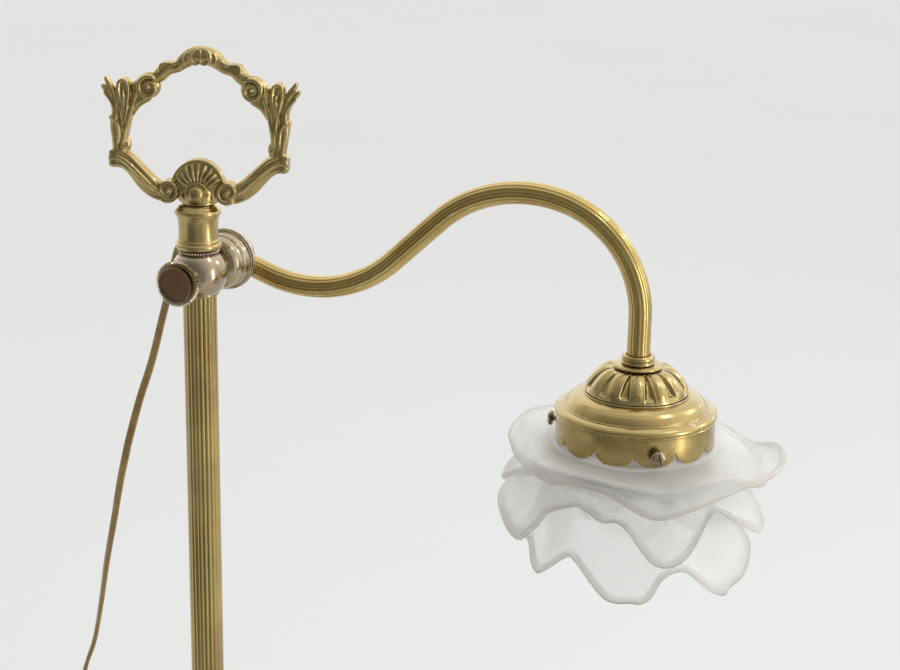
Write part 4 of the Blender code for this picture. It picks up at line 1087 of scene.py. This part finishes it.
def petal_tier(root, table, fold, belly=0.0, rows=30, thick=2.2, soften=4):
    """One ruffled tier of glass as a closed sheet.

    root is the profile it leaves in, as (radius, height); the sheet runs to the rim table.
    fold is (radius, share): the sheet first falls that share of the way down, then turns
    to the rim; a table of its own sets the turn out all round. belly pushes its middle
    outward. The rim is a thickened, fire-polished lip.
    """
    count = 384
    azimuth, rim_r, rim_z = rim_curve(table, count)
    r0, z0 = root[-1]
    grid = np.zeros((len(root) + rows, count, 2))
    for i, (r, z) in enumerate(root):
        grid[i, :, 0], grid[i, :, 1] = r, z
    if isinstance(fold, list):
        _, fold_r, fold_z = rim_curve(fold, count)
    else:
        fold_r = np.full(count, float(fold[0]))
        fold_z = z0 + fold[1] * (rim_z - z0)
    first = np.hypot(fold_r - r0, fold_z - z0)
    whole = first + np.hypot(rim_r - fold_r, rim_z - fold_z)
    for i in range(rows):
        t = (i + 1) / rows
        at = t * whole
        a = np.clip(at / first, 0, 1)
        b = np.clip((at - first) / np.maximum(whole - first, 1e-6), 0, 1)
        grid[len(root) + i, :, 0] = (r0 + (fold_r - r0) * a + (rim_r - fold_r) * b
                                     + belly * math.sin(math.pi * t))
        grid[len(root) + i, :, 1] = z0 + (fold_z - z0) * a + (rim_z - fold_z) * b
    for _ in range(soften):
        grid[1:-1] = (grid[:-2] + 2 * grid[1:-1] + grid[2:]) / 4
    a = np.radians(azimuth + VIEW)
    xyz = np.stack([grid[:, :, 0] * np.cos(a), grid[:, :, 0] * np.sin(a), grid[:, :, 1]], 2)
    du = np.roll(xyz, -1, axis=1) - np.roll(xyz, 1, axis=1)
    dv = np.gradient(xyz, axis=0)
    normal = unit(np.cross(du, dv))
    total = len(root) + rows
    reach = np.linalg.norm(np.diff(xyz, axis=0), axis=2).mean(1)
    left = np.concatenate([np.cumsum(reach[::-1])[::-1], [0]])     # mm to the rim
    lip = 1.75
    half = thick / 2 + (lip - thick / 2) * np.clip((6.5 - left) / 4.0, 0, 1)
    half *= np.sqrt(np.clip(1 - (1 - np.clip(left / lip, 0, 1)) ** 2, 0, 1))
    crease = np.zeros(total)
    if isinstance(fold, list):
        turn_out = len(root) + rows * float((first / whole).mean()) - 1
        crease = 0.55 * np.exp(-((np.arange(total) - turn_out) / 1.3) ** 2)
    along = np.linalg.norm(np.roll(xyz[-1], -1, 0) - np.roll(xyz[-1], 1, 0), axis=1)
    steep = np.abs(np.roll(rim_z, -1) - np.roll(rim_z, 1)) / along
    width = 3.6 + 5.0 * np.clip(steep, 0, 1) ** 1.5               # it curls over on the slopes
    weight = np.maximum(np.clip((width - left[:, None]) / 1.8, 0, 1), crease[:, None])
    top = xyz[:-1] + normal[:-1] * half[:-1, None, None]
    under = xyz[:-1] - normal[:-1] * half[:-1, None, None]
    rows_all = list(top) + [xyz[-1]] + list(under[::-1])
    verts = np.concatenate(rows_all)
    weights = np.concatenate([weight, weight[:-1][::-1]]).ravel()
    rows = np.arange(len(verts)).reshape(-1, count).tolist()
    return verts, skin(rows + rows[:1]), weights


def build_rose():
    """Frosted rose glass: four ruffled tiers of one hand-formed glass."""
    ledge = [(-180, 62, -79), (-165, 63, -78), (-150, 65, -78), (-139, 67, -79),
             (-125, 67.5, -78.5), (-110, 67, -79), (-97, 67, -81), (-84, 67, -83),
             (-75, 67, -84.3), (-61, 67.5, -82), (-50, 68, -81), (-38, 68, -81.5),
             (-28, 66, -83.5), (-14, 64, -86), (0, 64, -87), (14, 64, -87.5), (32, 63, -85),
             (60, 62, -80), (90, 64, -83), (120, 64, -80), (150, 62, -79)]
    upper = [(-180, 70, -80), (-172, 69.5, -79), (-165, 69.8, -79), (-157, 70.5, -80.5),
             (-150, 71.3, -81.5), (-144, 71.8, -82.5), (-138, 71.2, -85), (-128, 69.5, -86.5),
             (-117, 68.5, -85), (-104, 68, -86), (-97, 68.5, -89), (-89, 69.8, -94),
             (-83, 71, -97), (-77, 71.6, -98), (-69, 70.8, -96.5), (-57, 69.8, -93.4),
             (-44, 69.5, -91.2), (-34, 70, -90.2), (-27, 75, -89), (-19, 80.5, -86),
             (-10, 83, -83.5), (-2, 82.5, -81.2), (6, 80.8, -80.6), (14, 78.3, -84),
             (23, 75.5, -88.8), (32, 73.5, -90), (41, 72.5, -87.5), (50, 72.5, -85.5),
             (62, 72, -79), (74, 71, -81), (90, 71, -88), (104, 71, -89), (118, 72, -83),
             (129, 74, -82), (138, 74, -80.4), (147, 74, -79.7), (158, 72.5, -81), (170, 71, -81)]
    second = [(-180, 72, -103), (-170, 73, -101), (-160, 72.5, -94), (-150, 70, -88.5),
              (-130, 62, -85), (-110, 55, -86), (-90, 54, -87), (-60, 54, -87), (-38, 58, -88),
              (-22, 69, -93), (-8, 73, -98), (8, 73, -101), (26, 71, -98), (60, 64, -91),
              (90, 62, -98), (120, 66, -91), (150, 70, -97), (166, 72, -103)]
    third = [(-180, 74, -118), (-162, 74, -121), (-152, 73, -125.5), (-147, 70, -126.5),
             (-142, 66, -119), (-136, 63, -109), (-127, 60, -103), (-117, 58, -100),
             (-111, 59, -102.5), (-104, 60.5, -105.5), (-97, 61, -104.5), (-91, 63, -108.5),
             (-85, 65, -117.5), (-80, 66.5, -124), (-74, 67, -127), (-67, 67, -126),
             (-61, 66, -121.5), (-57, 65, -116), (-51, 63, -107.5), (-45, 62, -102),
             (-38, 64, -106), (-28, 68, -114), (-14, 72, -123), (0, 73, -125), (10, 72.5, -123),
             (20, 72, -118), (29, 71, -112), (40, 68, -108), (56, 66, -120), (68, 65, -123),
             (80, 62, -108), (92, 63, -104), (106, 67, -118), (118, 68, -121), (128, 66, -108),
             (140, 71, -112), (150, 74, -117), (165, 74.5, -118)]
    lowest = [(-180, 64, -138), (-165, 63, -132), (-155, 61.5, -132), (-149, 62, -143),
              (-144, 61, -146.5), (-139, 58.5, -143), (-132, 56, -136.5), (-125, 55, -132),
              (-118, 56, -136), (-111, 57.5, -142), (-102, 60, -149), (-96, 61, -150.5),
              (-89, 61, -150), (-82, 61, -150), (-77, 60, -146.5), (-72, 58, -139),
              (-64, 57, -135), (-57, 58, -136), (-48, 61, -145), (-41, 62.5, -150.5),
              (-34, 64, -153), (-29, 63.5, -151), (-18, 66, -148), (-8, 67, -143), (6, 66, -138),
              (20, 62, -134), (34, 58, -140), (48, 60, -149), (60, 61, -150), (74, 57, -136),
              (88, 58, -138), (102, 62, -150), (114, 61, -151), (128, 57, -137), (144, 58, -135),
              (158, 63, -146), (170, 64, -145)]
    neck = [(39.8, -64.2), (39.8, -70), (39.8, -76.5), (40.6, -80.5), (42.4, -84.5)]
    tiers = [
        petal_tier([(40.4, -77), (42.2, -79.6), (45.4, -81)], upper, ledge, rows=36, soften=1),
        petal_tier([(42, -82.6), (45, -84.4)], second, (58.0, 0.45)),
        petal_tier([(42.8, -85.5), (45.6, -88)], third, (58.5, 0.30), belly=0.6),
        petal_tier(neck + [(45, -90), (47.6, -98)], lowest, (53.5, 0.62), soften=6,
                   thick=2.4),
    ]
    verts, faces = merged(*[tier[:2] for tier in tiers])
    rose = piece("rose_glass", verts, faces, "glass", "arm", "frosted_glass", ["shade_glass"],
                 HEAD, sharp=0)
    lip = rose.data.attributes.new("lip", "FLOAT", "POINT")
    lip.data.foreach_set("value", np.concatenate([tier[2] for tier in tiers]).astype("f"))


# ---- switch, plug, tie ------------------------------------------------------------------
def build_fittings(route, twist):
    """Rocker switch, plug and tie, and the length of cord that they sit on."""
    at = middle("cord_switch") / MM
    body = [soft_box((44, 24, 15), 4.6, (0, 0, 7.7), 5)]
    for side in (1, -1):
        relief = smooth_line([(4.3, 20), (4.2, 23), (3.7, 26), (3.4, 29)], 1.0)
        rings = [(0, 19)] + [(r + 0.35 * (i % 2), x) for i, (r, x) in enumerate(relief)]
        rings += [(0, 29.2)]
        v, f = lathe(rings, 40, "X")
        v[:, 0] *= side
        v[:, 1] *= 1.45
        body.append((v + (0, 0, 6.8), f))
    frame_edge = [soft_box((20.5, 1.6, 1.6), 0.7, (0, s * 6.6, 15.0), 3) for s in (1, -1)]
    frame_edge += [soft_box((1.6, 14.0, 1.6), 0.7, (s * 9.6, 0, 15.0), 3) for s in (1, -1)]
    verts, faces = merged(*body, *frame_edge)
    switch = piece("switch_housing", turned(verts, SWITCH_HEADING), faces, "plastic", "stand",
                   "brown_plastic", ["cord_switch"], (at.x, at.y, 0))
    rock = middle("switch_rocker") / MM
    outline = smooth_line([(-7.3, 1.7), (-5.5, 2.7), (0, 1.5), (5.5, 2.7), (7.3, 1.7), (7, -1),
                           (5.6, -3.2), (0, -4.2), (-5.6, -3.2), (-7, -1)], 0.6, True)
    rows = []
    for y, shrink in ((-4.6, 0.94), (-4.3, 1.0), (4.3, 1.0), (4.6, 0.94)):
        rows.append([(x * shrink, y, z * shrink) for x, z in outline])
    verts = np.concatenate(rows)
    rows = np.arange(len(verts)).reshape(4, -1).tolist()
    faces = skin(rows) + [rows[0], rows[-1][::-1]]
    rocker = piece("rocker_key", turned(verts, SWITCH_HEADING), faces, "plastic", "rocker",
                   "brown_plastic", ["switch_rocker"], (rock.x, rock.y, 13.5))

    plug_at = middle("plug_body") / MM
    body = [soft_box((28, 24, 15), 4.4, (1, 0, 7.7), 5),
            soft_box((9, 20, 13), 3.4, (-9, 0, 7.6), 4)]
    grips = [soft_box((1.2, 9, 1.0), 0.45, (x, 0, 15.1), 3) for x in (-3, 0, 3, 6)]
    relief = [(0, -18), (2.9, -17.8), (3.4, -16), (4.2, -12.5), (4.6, -9), (0, -8.8)]
    v, f = lathe(fillet(relief, 0.5), 40, "X")
    v[:, 1] *= 1.45
    body.append((v + (0, 0, 7.4), f))
    verts, faces = merged(*body, *grips)
    plug = piece("plug_moulded", turned(verts, PLUG_HEADING), faces, "plastic", "stand",
                 "brown_plastic", ["plug_body"], (plug_at.x, plug_at.y, 0))
    for side, end, wide in ((1, "line", 6.3), (-1, "neutral", 7.9)):
        verts, faces = soft_box((21.5, 1.5, wide), 0.45, (23.4, side * 6.35, 7.7), 3)
        piece(f"blade_{end}", turned(verts, PLUG_HEADING), faces, "spun_brass",
                            "stand", "antique_brass", [f"plug_blade_{end}"],
                            (plug_at.x, plug_at.y, 0))
    tie_at = middle("cord_tie") / MM
    loop = smooth_line([(-8.4, 0.9), (-8.4, 8), (-8, 13.6), (-5, 15.6), (0, 15.9), (5, 15.6),
                        (8, 13.6), (8.4, 8), (8.4, 0.9)], 1.0)
    path = [(x, 0, z) for x, z in loop]
    strap = [(-1.9, -0.3), (-1.9, 0.3), (1.9, 0.3), (1.9, -0.3)]
    band, faces = swept(path, strap, (0, 1, 0))
    twist_end = soft_box((3.0, 2.4, 1.6), 0.6, (0.5, 0, 16.4), 3)
    band, faces = merged((band, faces), twist_end)
    tie = piece("tie_band", turned(band, TIE_HEADING), faces, "plastic", "stand", "brown_plastic",
                ["cord_tie"], (tie_at.x, tie_at.y, 0.1))
    twin_flex("cord_coiled", route, twist, "stand", ["cord_link", "cord_coil", "cord_tail"])


# ---- floor and light --------------------------------------------------------------------
def area(name, direction, distance, size, power):
    """A soft light that faces the lamp from a direction of (azimuth, elevation)."""
    aim = Vector((0.1, 0, 0.42))
    a, e = math.radians(direction[0]), math.radians(direction[1])
    out = Vector((math.cos(a) * math.cos(e), math.sin(a) * math.cos(e), math.sin(e)))
    lamp = bpy.data.lights.new(name, "AREA")
    lamp.shape = "RECTANGLE"
    lamp.size, lamp.size_y = size
    lamp.energy = power
    obj = add_object(name, lamp)
    obj.location = aim + out * distance
    obj.rotation_euler = out.to_track_quat("Z", "Y").to_euler()
    obj.visible_camera = False


def studio_flag(name, first, last, radius, top, tone):
    """A dark curved card in front of the lamp that only the metal's reflections see."""
    verts, faces = [], []
    for i, a in enumerate(np.radians(np.linspace(first, last, 25))):
        x, y = radius * math.cos(a), radius * math.sin(a)
        verts += [(x, y, 0.002), (x, y, top)]
        if i:
            faces.append([2 * i - 2, 2 * i, 2 * i + 1, 2 * i - 1])
    mesh = bpy.data.meshes.new(name)
    mesh.from_pydata(verts, [], faces)
    card = add_object(name, mesh)
    n = Nodes(name)
    n.set(Roughness=0.9)
    tones = n.mix(n.span(n.noise(8, 3), 0, 1), tone, tuple(c * 0.7 for c in tone))
    mesh.materials.append(n.feed(Base_Color=tones))
    card.visible_camera = card.visible_diffuse = card.visible_shadow = False
    card.visible_transmission = card.visible_volume_scatter = False


def build_stage():
    half, z = 14, -0.0005                        # just under the felt
    verts = [(-half, -half, z), (half, -half, z), (half, half, z), (-half, half, z)]
    mesh = bpy.data.meshes.new("floor")
    mesh.from_pydata(verts, [], [[0, 1, 2, 3]])
    floor = add_object("floor", mesh)
    n = Nodes("pale_floor")
    tone = n.mix(n.span(n.noise(1.5, 3), 0, 1), (0.765, 0.765, 0.755), (0.735, 0.735, 0.73))
    n.set(Roughness=0.9)
    mesh.materials.append(n.feed(Base_Color=tone))

    world = bpy.data.worlds.new("studio")
    bpy.context.scene.world = world
    world.use_nodes = True
    tree = world.node_tree
    back = tree.nodes["Background"]
    where = tree.nodes.new("ShaderNodeTexCoord")
    split = tree.nodes.new("ShaderNodeSeparateXYZ")
    tree.links.new(where.outputs["Generated"], split.inputs[0])

    def math_node(kind, a, b):
        node = tree.nodes.new("ShaderNodeMath")
        node.operation = kind
        for socket, value in zip(node.inputs, (a, b)):
            if hasattr(value, "links"):
                tree.links.new(value, socket)
            else:
                socket.default_value = value
        return node.outputs[0]
    # darker toward the front left, pale behind and overhead
    toward = math_node("ADD", math_node("MULTIPLY", split.outputs["X"], 0.25),
                       math_node("MULTIPLY", split.outputs["Y"], 0.96))
    ramp = tree.nodes.new("ShaderNodeValToRGB")
    ramp.color_ramp.elements[0].position = 0.16
    ramp.color_ramp.elements[0].color = (0.20, 0.20, 0.205, 1)
    ramp.color_ramp.elements[1].position = 0.66
    ramp.color_ramp.elements[1].color = (1.0, 1.0, 0.995, 1)
    tree.links.new(math_node("ADD", math_node("MULTIPLY", toward, 0.5), 0.5), ramp.inputs["Fac"])
    tree.links.new(ramp.outputs["Color"], back.inputs["Color"])
    back.inputs["Strength"].default_value = 1.43
    area("window", (-5, 1), 1.25, (0.13, 0.84), 3.2)
    area("spot_high", (14, 55), 1.6, (0.12, 0.12), 1.7)
    area("spot_low", (42, 29), 1.6, (0.12, 0.12), 1.7)
    # the low pair stands nearer, for the foot of the column
    dark, grey = (0.17, 0.17, 0.17), (0.42, 0.42, 0.42)
    studio_flag("flag_left", -128, -78, 0.80, 0.62, dark)
    studio_flag("flag_front", -78, -38, 0.80, 0.62, grey)
    studio_flag("flag_left_low", -128, -78, 0.40, 0.15, dark)
    studio_flag("flag_front_low", -78, -52, 0.40, 0.15, grey)
    view = bpy.context.scene.view_settings
    view.view_transform = "Standard"
    view.look = "None"


build_camera()
M = build_materials()
ROUTE, TWIST = build_cord()
build_fittings(ROUTE, TWIST)
build_base()
build_column()
build_slider()
build_knob()
build_arm()
build_head()
build_screws()
build_rose()
build_stage()
